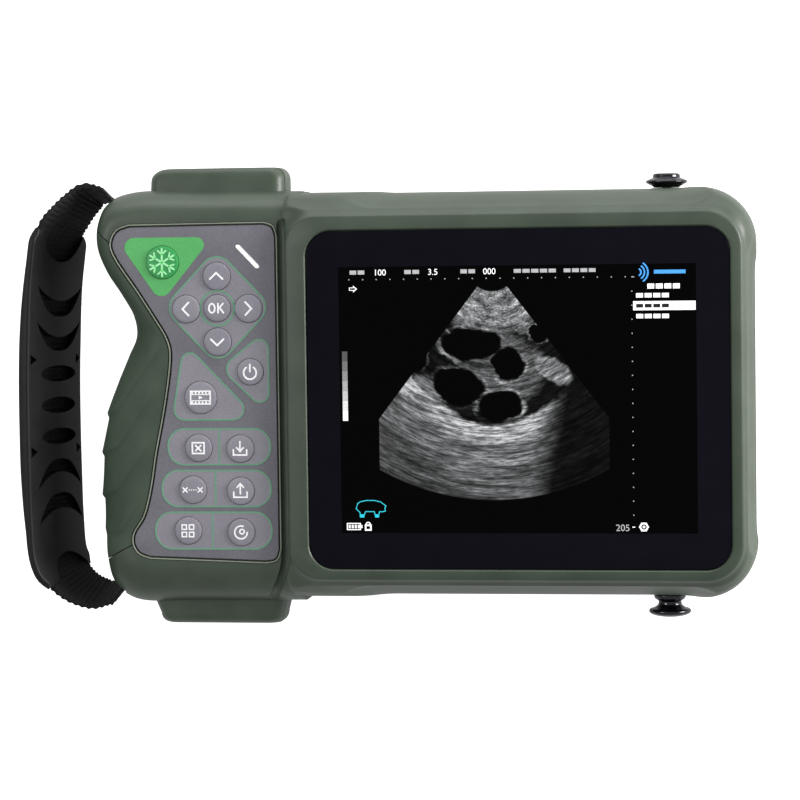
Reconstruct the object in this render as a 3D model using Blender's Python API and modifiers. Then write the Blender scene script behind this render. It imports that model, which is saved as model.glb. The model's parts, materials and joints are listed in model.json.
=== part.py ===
"""Hand-held veterinary ultrasound scanner: two-shell body with a grip, keypad, display and hand strap.

The scanner lies on its back. +X runs from the grip to the display, +Y is the upper edge of the picture,
+Z comes out of the screen, and z = 0 is the plane that the rubber feet rest on.
Lengths are in millimetres and become metres (MM) where a mesh is made. They are measured from the middle
of the body; the empty that carries every object moves the origin to the middle of the whole, strap included.
"""

import math

import bmesh
import bpy
from mathutils import Vector

MM = 0.001
GAP = 0.3
CENTRE_SHIFT = (12.66, -0.5, 0.0)

# Body heights, from the resting plane
FOOT_BOTTOM = 0.0
REAR_Z = 1.5
PARTING_Z = 19.0
PARTING_GAP = 1.0
GASKET_THICK = 0.5
GRIP_FACE_Z = 34.0
FRAME_FACE_Z = 38.0

# Display block, in plan
FRAME_LEFT = -43.0
FRAME_RIGHT = 104.2
FRAME_TOP = 58.8
FRAME_BOTTOM = -59.4
BLOCK_RIGHT = 108.2
BLOCK_TOP = 67.0
BLOCK_BOTTOM = -67.4
BLOCK_LEFT = -44.7
JOIN_X = -40.0

# Display block profile: rise over the rear face, share of the way from the frame edge to the full outline,
# extra inset, corner radius, left corner radius, and the scoop depth of the long sides and of the end
BLOCK_LEVELS = [
    (0.0, -0.10, 3.0, 9.0, 2.0, 0.0, 0.0),
    (1.2, 0.05, 1.2, 11.0, 2.0, 0.2, 0.1),
    (4.0, 0.45, 0.0, 12.0, 2.0, 0.6, 0.4),
    (9.0, 0.85, 0.0, 13.0, 2.0, 0.8, 0.6),
    (15.0, 1.00, 0.0, 14.0, 2.0, 0.9, 0.7),
    (21.0, 1.00, 0.0, 14.0, 2.0, 1.7, 1.1),
    (26.0, 0.93, 0.0, 13.5, 2.0, 2.9, 1.8),
    (30.0, 0.72, 0.0, 13.0, 2.6, 2.8, 1.7),
    (32.3, 0.46, 0.0, 12.5, 3.6, 1.4, 0.8),
    (33.6, 0.30, 0.0, 12.0, 6.0, 0.4, 0.2),
    (35.6, 0.02, 0.0, 12.0, 10.0, 0.0, 0.0),
    (36.2, 0.00, 0.3, 11.7, 10.0, 0.0, 0.0),
    (36.5, 0.00, 0.9, 11.2, 10.0, 0.0, 0.0),
]
INSET_LEVELS = (0, 2, 4, 6, 8, 9, 12)
FRAME_LEVELS = 4
SIDE_RUN = 16.0
END_RUN = 10.0

# Window, display module and their supports
WINDOW_CENTRE = (32.0, -1.0)
WINDOW_SIZE = (136.0, 109.0)
WINDOW_CORNER = 8.0
WINDOW_THICK = 1.8
WINDOW_LEDGE = 4.0
LCD_SIZE = (122.0, 94.0)
LCD_Z = (32.0, 35.2)
BRACKET_Z = (29.4, 31.6)

# Walls
WALL = 2.8
GRIP_WALL = 4.4
REAR_WALL = 3.5
DISPLAY_CEILING = 34.0
COVER_THICK = 1.6
COVER_RIM = 1.3
COVER_BOTTOM = 7.0

# Keypad
OVERLAY_THICK = 1.0
KEY_PROUD = 0.9
KEY_FLANGE = 0.55
KEY_SIDES = 16
BOARD_THICK = 1.6
KEYPAD_BOARD_TOP = 28.8

# Thick block behind the grip, whose ends stand out as two bosses
BOSS_X = (-93.4, -46.1)
BOSS_Z = (5.0, 24.0)
BOSS_TOP = 75.8
BOSS_BOTTOM = -75.2
BOSS_TAPER = 4.4

# Hand strap
WEBBING_WIDTH = 20.0
WEBBING_THICK = 2.0
PAD_WIDTH = 31.0
PAD_THICK = 6.0
PAD_TILT = math.radians(14.0)
PAD_Y = (-58.0, 54.5)
ANCHOR_Z = 16.0
PAD_Z = 18.5
STRAP_BAR_UPPER = (-96.5, 57.0)
STRAP_BAR_LOWER = (-96.0, -57.5)
STRAP_EXIT_UPPER = (-107.0, 66.6)
STRAP_EXIT_LOWER = (-105.5, -66.3)
STRAP_BAR_RADIUS = 1.5
STRAP_START_GAP = 4.6

# Strap studs on the long edges
STUD_X = 79.0
STUD_Z = 11.2
STUD_SEAT_Y = 67.4
STUD_NECK = {1: 0.0, -1: 1.8}

# Ports in the two ends of the thick block
SOCKET_X = -70.0
SOCKET_Z = 14.5
PORT_X = (-78.0, -58.0)
PORT_Z = (10.5, 18.0)

# Battery compartment and its hinged cover, in the rear wall
COVER_X = (-90.0, -52.0)
COVER_Y = (-44.0, 36.0)
COVER_PLATE = 2.0
PIN_RADIUS = 0.4
PIN_GAP = 0.1
LOCK_RADIUS = 4.0
LOCK_INSET = 7.0
COIN_SLOT = (6.0, 1.2, 0.9)

# Screws and feet in the rear wall
SCREWS = [(96.0, 55.0), (96.0, -55.0), (-39.5, 55.0), (-39.5, -55.0)]
FEET = [(88.0, 40.0), (88.0, -42.0), (-75.0, 50.0), (-75.0, -53.5)]
FOOT_RADIUS = 5.0

# Grip: each pair is the edge of the flat face and the outermost silhouette, from the top round the left side
GRIP_PAIRS = [
    ((-40.0, 58.0), (-40.0, 67.0)),
    ((-70.0, 58.2), (-70.0, 67.3)),
    ((-95.0, 57.8), (-96.5, 67.3)),
    ((-100.8, 55.9), (-104.6, 64.2)),
    ((-103.0, 52.3), (-108.1, 57.5)),
    ((-102.4, 47.5), (-108.4, 49.5)),
    ((-98.7, 41.4), (-105.4, 41.2)),
    ((-93.6, 33.4), (-100.5, 33.6)),
    ((-88.4, 25.4), (-96.7, 26.6)),
    ((-84.3, 18.9), (-96.0, 19.9)),
    ((-83.1, 12.4), (-98.8, 13.4)),
    ((-84.3, 3.2), (-102.6, 4.4)),
    ((-86.2, -6.4), (-106.0, -6.6)),
    ((-88.1, -17.6), (-107.8, -18.0)),
    ((-90.2, -29.2), (-108.0, -30.0)),
    ((-93.6, -40.2), (-107.5, -42.0)),
    ((-97.1, -47.2), (-107.0, -54.0)),
    ((-96.0, -52.4), (-104.4, -62.4)),
    ((-90.6, -54.4), (-97.6, -67.4)),
    ((-76.0, -55.0), (-78.0, -67.8)),
    ((-40.0, -56.2), (-40.0, -67.6)),
]
GRIP_ROLL = 13.0
REAR_ROLL = 9.0
REAR_SHARE = 0.45

# Keypad panel outline, from its upper right corner round the left side
PANEL_POINTS = [
    (-50.6, 56.0), (-70.0, 55.9), (-95.4, 55.7), (-99.2, 54.2), (-101.0, 50.6), (-100.3, 47.3),
    (-92.1, 34.8), (-86.4, 25.8), (-83.1, 20.3), (-81.7, 16.0), (-81.7, 11.2), (-82.9, 2.0),
    (-84.7, -8.0), (-86.9, -18.5), (-88.8, -30.0), (-91.4, -39.4), (-94.8, -44.9), (-95.0, -48.0),
    (-93.4, -50.6), (-90.0, -52.0), (-70.0, -52.7), (-51.2, -53.4), (-48.2, -52.6), (-47.1, -49.6),
    (-47.1, 52.0), (-48.1, 55.0),
]

# Keys: centre and disc diameter
KEYS = {
    "key_freeze": (-84.3, 44.2, 10.8),
    "key_up": (-66.3, 39.5, 9.1),
    "key_left": (-76.6, 28.9, 9.1),
    "key_ok": (-66.3, 29.1, 8.8),
    "key_right": (-55.9, 28.9, 9.1),
    "key_down": (-66.3, 18.1, 9.1),
    "key_power": (-55.6, 8.3, 8.6),
    "key_cine": (-72.2, 0.0, 10.6),
    "key_clear": (-73.2, -16.5, 9.0),
    "key_save": (-59.3, -16.8, 9.0),
    "key_measure": (-75.3, -30.2, 9.0),
    "key_output": (-59.4, -30.6, 9.0),
    "key_menu": (-77.1, -43.6, 9.0),
    "key_obstetric": (-59.4, -44.1, 9.0),
}
POWER_SLIT = ((-59.5, 49.4), (-52.8, 42.1))
POWER_SLIT_WIDTH = 1.3

FINISHES = {
    "housing_green": ((0.078, 0.102, 0.074), 0.42, 0.0),
    "rubber_black": ((0.012, 0.012, 0.012), 0.75, 0.0),
    "grip_green": ((0.055, 0.075, 0.052), 0.62, 0.0),
    "window_glass": ((0.006, 0.006, 0.010), 0.08, 0.0),
    "keypad_grey": ((0.155, 0.150, 0.175), 0.55, 0.0),
    "key_lavender": ((0.240, 0.232, 0.272), 0.50, 0.0),
    "key_green": ((0.100, 0.450, 0.140), 0.50, 0.0),
    "light_white": ((0.850, 0.850, 0.850), 0.30, 0.0),
    "steel": ((0.560, 0.560, 0.580), 0.28, 1.0),
    "board_green": ((0.020, 0.110, 0.050), 0.50, 0.0),
    "battery_black": ((0.020, 0.020, 0.022), 0.45, 0.0),
    "webbing_black": ((0.010, 0.010, 0.010), 0.90, 0.0),
    "stud_black": ((0.015, 0.015, 0.015), 0.18, 1.0),
    "lcd_black": ((0.004, 0.004, 0.004), 0.30, 0.0),
}


# Rotations that stand an object's own +Z along a world axis
TURNS = {
    "Z": (0.0, 0.0, 0.0),
    "Y": (-math.pi / 2, 0.0, 0.0),
    "-Y": (math.pi / 2, 0.0, 0.0),
    "X": (0.0, math.pi / 2, 0.0),
}


# ---------------------------------------------------------------- scene and materials

def clear_scene():
    for item in list(bpy.data.objects):
        bpy.data.objects.remove(item, do_unlink=True)


def new_collection(name):
    group = bpy.data.collections.new(name)
    bpy.context.scene.collection.children.link(group)
    return group


def new_finish(name):
    colour, roughness, metallic = FINISHES[name]
    finish = bpy.data.materials.new(name)
    finish.use_nodes = True
    shader = finish.node_tree.nodes["Principled BSDF"]
    shader.inputs["Base Color"].default_value = (*colour, 1.0)
    shader.inputs["Roughness"].default_value = roughness
    shader.inputs["Metallic"].default_value = metallic
    return finish


def place(name, mesh, finish=None):
    """A part when it has a finish, and otherwise a cutter that only shapes other objects."""
    item = bpy.data.objects.new(name, mesh)
    item.parent = CARRIER
    if finish:
        mesh.materials.clear()
        mesh.materials.append(MATERIALS[finish])
        PARTS.objects.link(item)
    else:
        item.hide_render = True
        item.display_type = "WIRE"
        CUTTERS.objects.link(item)
    return item


# ---------------------------------------------------------------- outlines

def spline(points, steps):
    """Points along a Catmull-Rom curve from the first given point to the last."""
    last = len(points) - 1
    result = []
    for i in range(last):
        a, b, c, d = (Vector(points[min(max(i + k, 0), last)]) for k in (-1, 0, 1, 2))
        for step in range(steps):
            t = step / steps
            result.append(
                b + 0.5 * t * (c - a) + t * t * (a - 2.5 * b + 2.0 * c - 0.5 * d)
                + t * t * t * (1.5 * (b - c) + 0.5 * (d - a))
            )
    result.append(Vector(points[last]))
    return result


def arc(centre, radius, start, end, steps):
    """Points on an arc between two angles in degrees, both ends included."""
    angles = [math.radians(start + (end - start) * i / steps) for i in range(steps + 1)]
    return [Vector((centre[0] + radius * math.cos(a), centre[1] + radius * math.sin(a))) for a in angles]


def rounded_rectangle(centre, size, radius, steps=5):
    half_x, half_y = size[0] / 2 - radius, size[1] / 2 - radius
    corners = [(1, 1, 0), (-1, 1, 90), (-1, -1, 180), (1, -1, 270)]
    points = []
    for side_x, side_y, angle in corners:
        middle = (centre[0] + side_x * half_x, centre[1] + side_y * half_y)
        points += arc(middle, radius, angle, angle + 90, steps)
    return points


def box_outline(x_range, y_range, radius=1.0, steps=3):
    centre = ((x_range[0] + x_range[1]) / 2, (y_range[0] + y_range[1]) / 2)
    size = (x_range[1] - x_range[0], y_range[1] - y_range[0])
    return rounded_rectangle(centre, size, radius, steps)


def stadium(start, end, width, steps=5):
    """A straight slot with round ends from start to end."""
    along = Vector(end) - Vector(start)
    angle = math.degrees(math.atan2(along.y, along.x))
    return (arc(end, width / 2, angle - 90, angle + 90, steps)
            + arc(start, width / 2, angle + 90, angle + 270, steps))


def grow(points, distance):
    """Move each point of a counter-clockwise outline along its outward normal."""
    result = []
    for i, point in enumerate(points):
        along = points[(i + 1) % len(points)] - points[i - 1]
        result.append(point + Vector((along.y, -along.x)).normalized() * distance)
    return result


def smooth_step(value):
    value = min(max(value, 0.0), 1.0)
    return value * value * (3.0 - 2.0 * value)


# ---------------------------------------------------------------- solids

def mesh_of(item):
    """The evaluated mesh of an object, which is then removed."""
    graph = bpy.context.evaluated_depsgraph_get()
    mesh = bpy.data.meshes.new_from_object(item.evaluated_get(graph))
    mesh.transform(item.matrix_world)
    bpy.data.objects.remove(item, do_unlink=True)
    return mesh


def weld(mesh):
    shape = bmesh.new()
    shape.from_mesh(mesh)
    bmesh.ops.remove_doubles(shape, verts=shape.verts, dist=0.00001)
    bmesh.ops.recalc_face_normals(shape, faces=shape.faces)
    shape.to_mesh(mesh)
    shape.free()


def slab(name, outlines, z_range, finish=None, edge=0.0):
    """Flat plate from an outline; further outlines are holes. edge rounds its rims."""
    curve = bpy.data.curves.new(name, "CURVE")
    curve.dimensions = "2D"
    curve.fill_mode = "BOTH"
    curve.extrude = ((z_range[1] - z_range[0]) / 2 - edge) * MM
    curve.bevel_depth = edge * MM
    curve.bevel_resolution = 1
    curve.offset = -edge * MM
    for outline in outlines:
        path = curve.splines.new("POLY")
        path.points.add(len(outline) - 1)
        for point, spot in zip(path.points, outline):
            point.co = (spot[0] * MM, spot[1] * MM, 0.0, 1.0)
        path.use_cyclic_u = True
    item = bpy.data.objects.new(name, curve)
    item.location.z = (z_range[0] + z_range[1]) / 2 * MM
    CUTTERS.objects.link(item)
    bpy.context.view_layer.update()
    mesh = mesh_of(item)
    weld(mesh)
    return place(name, mesh, finish)


def loft(name, rings, finish=None, closed=False):
    """Solid through rings of equal point counts: capped at both ends, or closed on itself."""
    shape = bmesh.new()
    loops = [[shape.verts.new(Vector(point) * MM) for point in ring] for ring in rings]
    count = len(loops[0])
    pairs = list(zip(loops, loops[1:]))
    if closed:
        pairs.append((loops[-1], loops[0]))
    for low, high in pairs:
        for i in range(count):
            j = (i + 1) % count
            shape.faces.new((low[i], low[j], high[j], high[i]))
    if not closed:
        shape.faces.new(loops[0][::-1])
        shape.faces.new(loops[-1])
    bmesh.ops.recalc_face_normals(shape, faces=shape.faces)
    bmesh.ops.triangulate(shape, faces=shape.faces)
    mesh = bpy.data.meshes.new(name)
    shape.to_mesh(mesh)
    shape.free()
    return place(name, mesh, finish)


def turned(name, profile, location, finish=None, axis="Z", sides=KEY_SIDES):
    """Solid of revolution; the profile lists (radius, height) from the top down."""
    mesh = bpy.data.meshes.new(name)
    points = [(radius * MM, 0.0, height * MM) for radius, height in profile]
    mesh.from_pydata(points, [(i, i + 1) for i in range(len(points) - 1)], [])
    item = place(name, mesh, finish)
    screw = item.modifiers.new("turn", "SCREW")
    screw.steps = sides
    screw.render_steps = sides
    screw.use_merge_vertices = True
    screw.merge_threshold = 0.00001
    item.location = Vector(location) * MM
    item.rotation_euler = TURNS[axis]
    return item


def cylinder(name, radius, low, high, location, finish=None, axis="Z", sides=12, far_radius=None):
    """Cylinder, or cone with a far_radius, between two distances along an axis through location."""
    shape = bmesh.new()
    far = radius if far_radius is None else far_radius
    bmesh.ops.create_cone(shape, cap_ends=True, segments=sides, radius1=radius * MM, radius2=far * MM,
                          depth=(high - low) * MM)
    bmesh.ops.translate(shape, verts=shape.verts, vec=(0.0, 0.0, (low + high) / 2 * MM))
    mesh = bpy.data.meshes.new(name)
    shape.to_mesh(mesh)
    shape.free()
    item = place(name, mesh, finish)
    item.location = Vector(location) * MM
    item.rotation_euler = TURNS[axis]
    return item


def block(name, low, high, finish=None, edge=0.0, segments=2):
    """Box between two corners, with its edges rounded by a Bevel modifier."""
    shape = bmesh.new()
    bmesh.ops.create_cube(shape, size=1.0)
    size = [b - a for a, b in zip(low, high)]
    for vertex in shape.verts:
        vertex.co = Vector([c * s * MM for c, s in zip(vertex.co, size)])
    mesh = bpy.data.meshes.new(name)
    shape.to_mesh(mesh)
    shape.free()
    item = place(name, mesh, finish)
    item.location = Vector([(a + b) / 2 * MM for a, b in zip(low, high)])
    if edge:
        bevel = item.modifiers.new("edges", "BEVEL")
        bevel.width = edge * MM
        bevel.segments = segments
        bevel.limit_method = "NONE"
    return item


def combine(target, operation, *others):
    for other in others:
        step = target.modifiers.new(operation.lower(), "BOOLEAN")
        step.operation = operation
        step.object = other


def shade(angle=35.0):
    """Smooth shading with sharp edges kept, on every part."""
    for item in PARTS.objects:
        item.data.shade_smooth()
        item.data.set_sharp_from_angle(angle=math.radians(angle))


# ---------------------------------------------------------------- outer form of the body

def grip_ring(share, inset, z):
    """Grip outline between the edge of its flat face (share 0) and its silhouette (share 1)."""
    face = spline([pair[0] for pair in GRIP_PAIRS], 2)
    rim = spline([pair[1] for pair in GRIP_PAIRS], 2)
    line = [a.lerp(b, share) for a, b in zip(face, rim)]
    if inset:
        line = grow(line, -inset)
        line[0] = Vector((JOIN_X, line[1].y))
        line[-1] = Vector((JOIN_X, line[-2].y))
    return [(point.x, point.y, z) for point in line]


def grip_form(name, inset=0.0, face_inset=None, rear_inset=None):
    """The grip as one solid; an inset form is the same shape, coarser, with everything moved inwards."""
    top = GRIP_FACE_Z - (inset if face_inset is None else face_inset)
    bottom = REAR_Z + (inset if rear_inset is None else rear_inset)
    rear_angles = (0, 45, 75) if inset else (0, 30, 55, 75)
    face_angles = (78, 52, 26, 0) if inset else (80, 64, 48, 32, 16, 0)
    rings = []
    for angle in rear_angles:
        drop = math.radians(angle)
        z = bottom + REAR_ROLL * (1 - math.cos(drop))
        rings.append(grip_ring(REAR_SHARE + (1.0 - REAR_SHARE) * math.sin(drop), inset, z))
    for angle in face_angles:
        drop = math.radians(angle)
        z = top - GRIP_ROLL * (1 - math.cos(drop))
        rings.append(grip_ring(math.sin(drop), inset, z))
    return loft(name, rings)


def dipped_side(start, end, dip, run, steps=3):
    """A straight side whose middle is set in by dip, with a soft run-out of length run at each end."""
    along = end - start
    inward = Vector((-along.y, along.x)).normalized()
    share = run / along.length
    stops = [share * (0.35 + i / steps) for i in range(steps + 1)]
    depths = [smooth_step(i / steps) for i in range(steps + 1)]
    stops += [1.0 - stop for stop in reversed(stops)]
    depths += depths[::-1]
    return [start + along * stop + inward * dip * depth for stop, depth in zip(stops, depths)]


def block_ring(z, left, right, top, bottom, corner, left_corner, side_dip, end_dip, inset=0.0):
    """Display block outline, counter-clockwise from its upper left corner."""
    radius = max(corner - inset, 1.0)
    small = max(left_corner - inset, 1.0)
    right, top, bottom = right - inset, top - inset, bottom + inset
    line = arc((left + small, top - small), small, 90, 180, 3)
    line += arc((left + small, bottom + small), small, 180, 270, 3)
    line += dipped_side(Vector((left + small, bottom)), Vector((right - radius, bottom)), side_dip, SIDE_RUN)
    line += arc((right - radius, bottom + radius), radius, -90, 0, 5)
    line += dipped_side(Vector((right, bottom + radius)), Vector((right, top - radius)), end_dip, END_RUN)
    line += arc((right - radius, top - radius), radius, 0, 90, 5)
    line += dipped_side(Vector((right - radius, top)), Vector((left + small, top)), side_dip, SIDE_RUN)
    return [(point.x, point.y, z) for point in line]


def block_form(name, inset=0.0, top_z=FRAME_FACE_Z, bottom_z=REAR_Z):
    """The display block as one drafted solid with scooped sides and full corners."""
    levels = [BLOCK_LEVELS[i] for i in INSET_LEVELS] if inset else BLOCK_LEVELS
    inset_left = BLOCK_LEFT - 1.6
    full = (BLOCK_RIGHT, BLOCK_TOP, BLOCK_BOTTOM)
    frame = (FRAME_RIGHT, FRAME_TOP, FRAME_BOTTOM)
    scale = (top_z - bottom_z) / (FRAME_FACE_Z - REAR_Z)
    rings = []
    for number, (rise, share, narrow, corner, small, side_dip, end_dip) in enumerate(levels):
        sides = [a + (b - a) * share for a, b in zip(frame, full)]
        right, top, bottom = (side - math.copysign(narrow, side) for side in sides)
        is_frame = number >= len(levels) - FRAME_LEVELS
        left = inset_left if inset else (FRAME_LEFT + narrow if is_frame else BLOCK_LEFT)
        z = bottom_z + rise * scale
        rings.append(block_ring(z, left, right, top, bottom, corner, small, side_dip, end_dip, inset))
    return loft(name, rings)


def boss_form(name, inset=0.0):
    """Thick block that runs behind the grip; its two ends are the bosses."""
    low_x, high_x = BOSS_X[0] + inset, BOSS_X[1] - inset
    low_z, high_z = BOSS_Z[0] + inset, BOSS_Z[1] - inset
    top, bottom = BOSS_TOP - inset, BOSS_BOTTOM + inset
    corner = 4.0

    def section(y, narrow, tall):
        x_range = (low_x + narrow * 1.3, high_x - narrow * 0.8)
        z_range = (low_z + tall, high_z - tall)
        return [(point.x, y, point.y) for point in box_outline(x_range, z_range, corner, 3)]

    rings = [
        section(bottom, BOSS_TAPER, 3.2),
        section(bottom + 0.9, BOSS_TAPER - 1.6, 1.4),
        section(bottom + 3.0, BOSS_TAPER - 2.8, 0.4),
        section(-62.0, 0.0, 0.0),
        section(62.0, 0.0, 0.0),
        section(top - 3.4, 0.0, 0.0),
        section(top - 1.0, 1.0, 0.9),
        section(top, 3.2, 3.0),
    ]
    return loft(name, rings)


def body_forms():
    """Outer form, cavity and the two gasket forms, each a union of grip and display block."""
    outer = block_form("form_outer")
    combine(outer, "UNION", grip_form("form_grip"), boss_form("form_boss"))
    inner = block_form("form_cavity", WALL, DISPLAY_CEILING, REAR_Z + REAR_WALL)
    combine(inner, "UNION", grip_form("form_grip_cavity", GRIP_WALL, WALL, REAR_WALL))
    inner_block = block("form_boss_cavity", (-90.0, -70.5, 8.0), (-50.0, 70.5, 21.0), edge=2.0)
    combine(inner, "UNION", inner_block)
    seal_out = block_form("form_seal_out", 0.9)
    combine(seal_out, "UNION", grip_form("form_grip_seal_out", 0.9))
    seal_in = block_form("form_seal_in", 2.2)
    combine(seal_in, "UNION", grip_form("form_grip_seal_in", 2.2))
    return outer, inner, seal_out, seal_in


# ---------------------------------------------------------------- cutters shared by the shells

def panel_outline(extra=0.0):
    return grow([Vector(point) for point in PANEL_POINTS], extra)


def window_outline(extra=0.0):
    size = [side + 2 * extra for side in WINDOW_SIZE]
    return rounded_rectangle(WINDOW_CENTRE, size, WINDOW_CORNER + extra)


def key_hole(name, x, y, diameter, z_range):
    return cylinder("hole_" + name, diameter / 2 + GAP, z_range[0], z_range[1], (x, y, 0.0), sides=KEY_SIDES)


def key_holes(prefix, z_range):
    return [key_hole(prefix + name, *spot, z_range) for name, spot in KEYS.items()]


def slit_outline(extra=0.0):
    return stadium(*POWER_SLIT, POWER_SLIT_WIDTH + 2 * extra)


def groove_cutter():
    """Channel between the keypad face and the display frame; it runs off the lower edge."""
    stops = [
        (-44.7, 58.6, 33.4), (-44.7, 56.0, 31.6), (-44.7, 0.0, 31.4), (-44.7, -53.0, 31.4),
        (-46.0, -58.5, 30.2), (-48.6, -63.5, 27.0), (-50.4, -66.6, 24.4), (-51.8, -69.0, 24.3),
    ]
    half = 1.65
    rings = []
    for x, y, floor in stops:
        rings.append([(x - half, y, floor), (x + half, y, floor), (x + half, y, 45.0), (x - half, y, 45.0)])
    return loft("groove_cut", rings)


def grip_cover_region(name, extra, finish=None):
    """Plan region of the rubber cover on the grip's left side, as a tall prism."""
    beside_panel = panel_outline(COVER_RIM)[4:18]
    far_side = [Vector(spot) for spot in ((-109.0, 56.5), (-118.0, 56.5), (-118.0, -55.5), (-110.0, -55.5))]
    return slab(name, [grow(beside_panel[::-1] + far_side, extra)], (COVER_BOTTOM - extra, 40.0), finish)


def strap_slot(name, bar, way_out):
    """Passage for the webbing through the corner of both shells."""
    along = (Vector(way_out) - Vector(bar)).normalized()
    side = Vector((-along.y, along.x)) * (WEBBING_THICK / 2 + 0.6)
    near, far = Vector(bar), Vector(way_out) + along * 6.0
    outline = [near - side, far - side, far + side, near + side]
    half = WEBBING_WIDTH / 2 + 0.6
    return slab(name, [outline], (ANCHOR_Z - half, ANCHOR_Z + half))


def strap_well(name, bar):
    return cylinder(name, 5.0, ANCHOR_Z - 10.6, ANCHOR_Z + 10.6, (*bar, 0.0), sides=20)


def strap_cutters():
    return [
        strap_slot("strap_slot_upper", STRAP_BAR_UPPER, STRAP_EXIT_UPPER),
        strap_slot("strap_slot_lower", STRAP_BAR_LOWER, STRAP_EXIT_LOWER),
        strap_well("strap_well_upper", STRAP_BAR_UPPER),
        strap_well("strap_well_lower", STRAP_BAR_LOWER),
    ]


# ---------------------------------------------------------------- shells

def front_housing(outer, inner, shared):
    low = PARTING_Z + PARTING_GAP / 2
    shell = block("front_housing", (-120.0, -90.0, low), (120.0, 90.0, 50.0), "housing_green")
    combine(shell, "INTERSECT", outer)
    combine(shell, "DIFFERENCE", inner)
    for number, (x, y) in enumerate(SCREWS, 1):
        combine(shell, "UNION", cylinder(f"front_post_{number}", 3.2, low + 0.2, 34.6, (x, y, 0.0)))
        combine(shell, "DIFFERENCE", cylinder(f"front_pilot_{number}", 1.6, 10.0, 30.5, (x, y, 0.0)))
    combine(shell, "DIFFERENCE", groove_cutter())
    top = GRIP_FACE_Z - OVERLAY_THICK - GAP
    combine(shell, "DIFFERENCE", slab("panel_recess", [panel_outline(0.45)], (top, 45.0)))
    seat = FRAME_FACE_Z - 0.2 - WINDOW_THICK - GAP
    combine(shell, "DIFFERENCE", slab("window_seat", [window_outline(GAP)], (seat, 45.0)))
    combine(shell, "DIFFERENCE", slab("window_through", [window_outline(-WINDOW_LEDGE)], (30.0, 45.0)))
    combine(shell, "DIFFERENCE", *key_holes("front_", (28.0, 45.0)))
    combine(shell, "DIFFERENCE", slab("slit_front", [slit_outline(GAP)], (28.0, 45.0)))
    combine(shell, "DIFFERENCE", *shared)
    return shell


def stud_side(side):
    """Name ending and axis of the stud on the upper (1) or lower (-1) edge."""
    return ("upper", "Y") if side > 0 else ("lower", "-Y")


def stud_seat(side):
    """Conical seat of a strap stud, joined to the rear shell."""
    name, axis = stud_side(side)
    spot = (STUD_X, 0.0, STUD_Z)
    return cylinder(f"stud_seat_{name}", 8.2, 58.2, STUD_SEAT_Y, spot, axis=axis, sides=20, far_radius=4.9)


def stud_hole(side):
    name, axis = stud_side(side)
    return cylinder(f"stud_hole_{name}", 1.7, 55.0, 70.0, (STUD_X, 0.0, STUD_Z), axis=axis, sides=10)


def rear_housing(outer, inner, shared):
    high = PARTING_Z - PARTING_GAP / 2
    shell = block("rear_housing", (-120.0, -90.0, -10.0), (120.0, 90.0, high), "housing_green")
    combine(shell, "INTERSECT", outer)
    combine(shell, "DIFFERENCE", inner)
    combine(shell, "UNION", stud_seat(1), stud_seat(-1))
    combine(shell, "DIFFERENCE", stud_hole(1), stud_hole(-1))
    for number, (x, y) in enumerate(SCREWS, 1):
        combine(shell, "UNION", cylinder(f"rear_post_{number}", 3.9, 3.0, high - 0.2, (x, y, 0.0)))
        combine(shell, "DIFFERENCE", cylinder(f"rear_pilot_{number}", 1.7, 0.0, 30.0, (x, y, 0.0)))
        combine(shell, "DIFFERENCE", cylinder(f"rear_sink_{number}", 3.1, -1.0, 4.4, (x, y, 0.0)))
    for number, (x, y) in enumerate(FEET, 1):
        seat = cylinder(f"foot_seat_{number}", FOOT_RADIUS + GAP, -1.0, 2.5, (x, y, 0.0), sides=16)
        combine(shell, "DIFFERENCE", seat)
    combine(shell, "DIFFERENCE", *battery_openings())
    combine(shell, "DIFFERENCE", *shared)
    return shell


def housing_gasket(seal_out, seal_in):
    """C-shaped rubber seal between the shells; the grip cover closes the joint on the finger side."""
    low, high = PARTING_Z - GASKET_THICK / 2, PARTING_Z + GASKET_THICK / 2
    gasket = block("housing_gasket", (-120.0, -90.0, low), (120.0, 90.0, high), "rubber_black")
    combine(gasket, "INTERSECT", seal_out)
    combine(gasket, "DIFFERENCE", seal_in)
    combine(gasket, "DIFFERENCE", block("gasket_ends", (-125.0, -80.0, 10.0), (-92.0, 80.0, 30.0)))
    return gasket


def grip_cover():
    """Rubber cover over the finger side of the grip, one piece across both shells."""
    cover = grip_cover_region("grip_cover", 0.0, "grip_green")
    combine(cover, "INTERSECT", grip_form("cover_outer"))
    combine(cover, "DIFFERENCE", grip_form("cover_inner", COVER_THICK))


# ---------------------------------------------------------------- display and keypad

def display_parts():
    top = FRAME_FACE_Z - 0.2
    slab("display_window", [window_outline()], (top - WINDOW_THICK, top), "window_glass", edge=0.2)
    slab("lcd_panel", [rounded_rectangle(WINDOW_CENTRE, LCD_SIZE, 1.0, 2)], LCD_Z, "lcd_black")
    outer = rounded_rectangle(WINDOW_CENTRE, (LCD_SIZE[0] + 2.0, LCD_SIZE[1] + 1.0), 2.0, 2)
    hole = rounded_rectangle(WINDOW_CENTRE, (LCD_SIZE[0] - 24.0, LCD_SIZE[1] - 24.0), 4.0, 2)
    slab("lcd_bracket", [outer, hole], BRACKET_Z, "steel")


def keypad_overlay():
    overlay = slab("keypad_overlay", [panel_outline()], (GRIP_FACE_Z - OVERLAY_THICK, GRIP_FACE_Z),
                   "keypad_grey", edge=0.2)
    combine(overlay, "DIFFERENCE", *key_holes("overlay_", (30.0, 40.0)))
    combine(overlay, "DIFFERENCE", slab("slit_overlay", [slit_outline(GAP)], (30.0, 40.0)))


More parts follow.
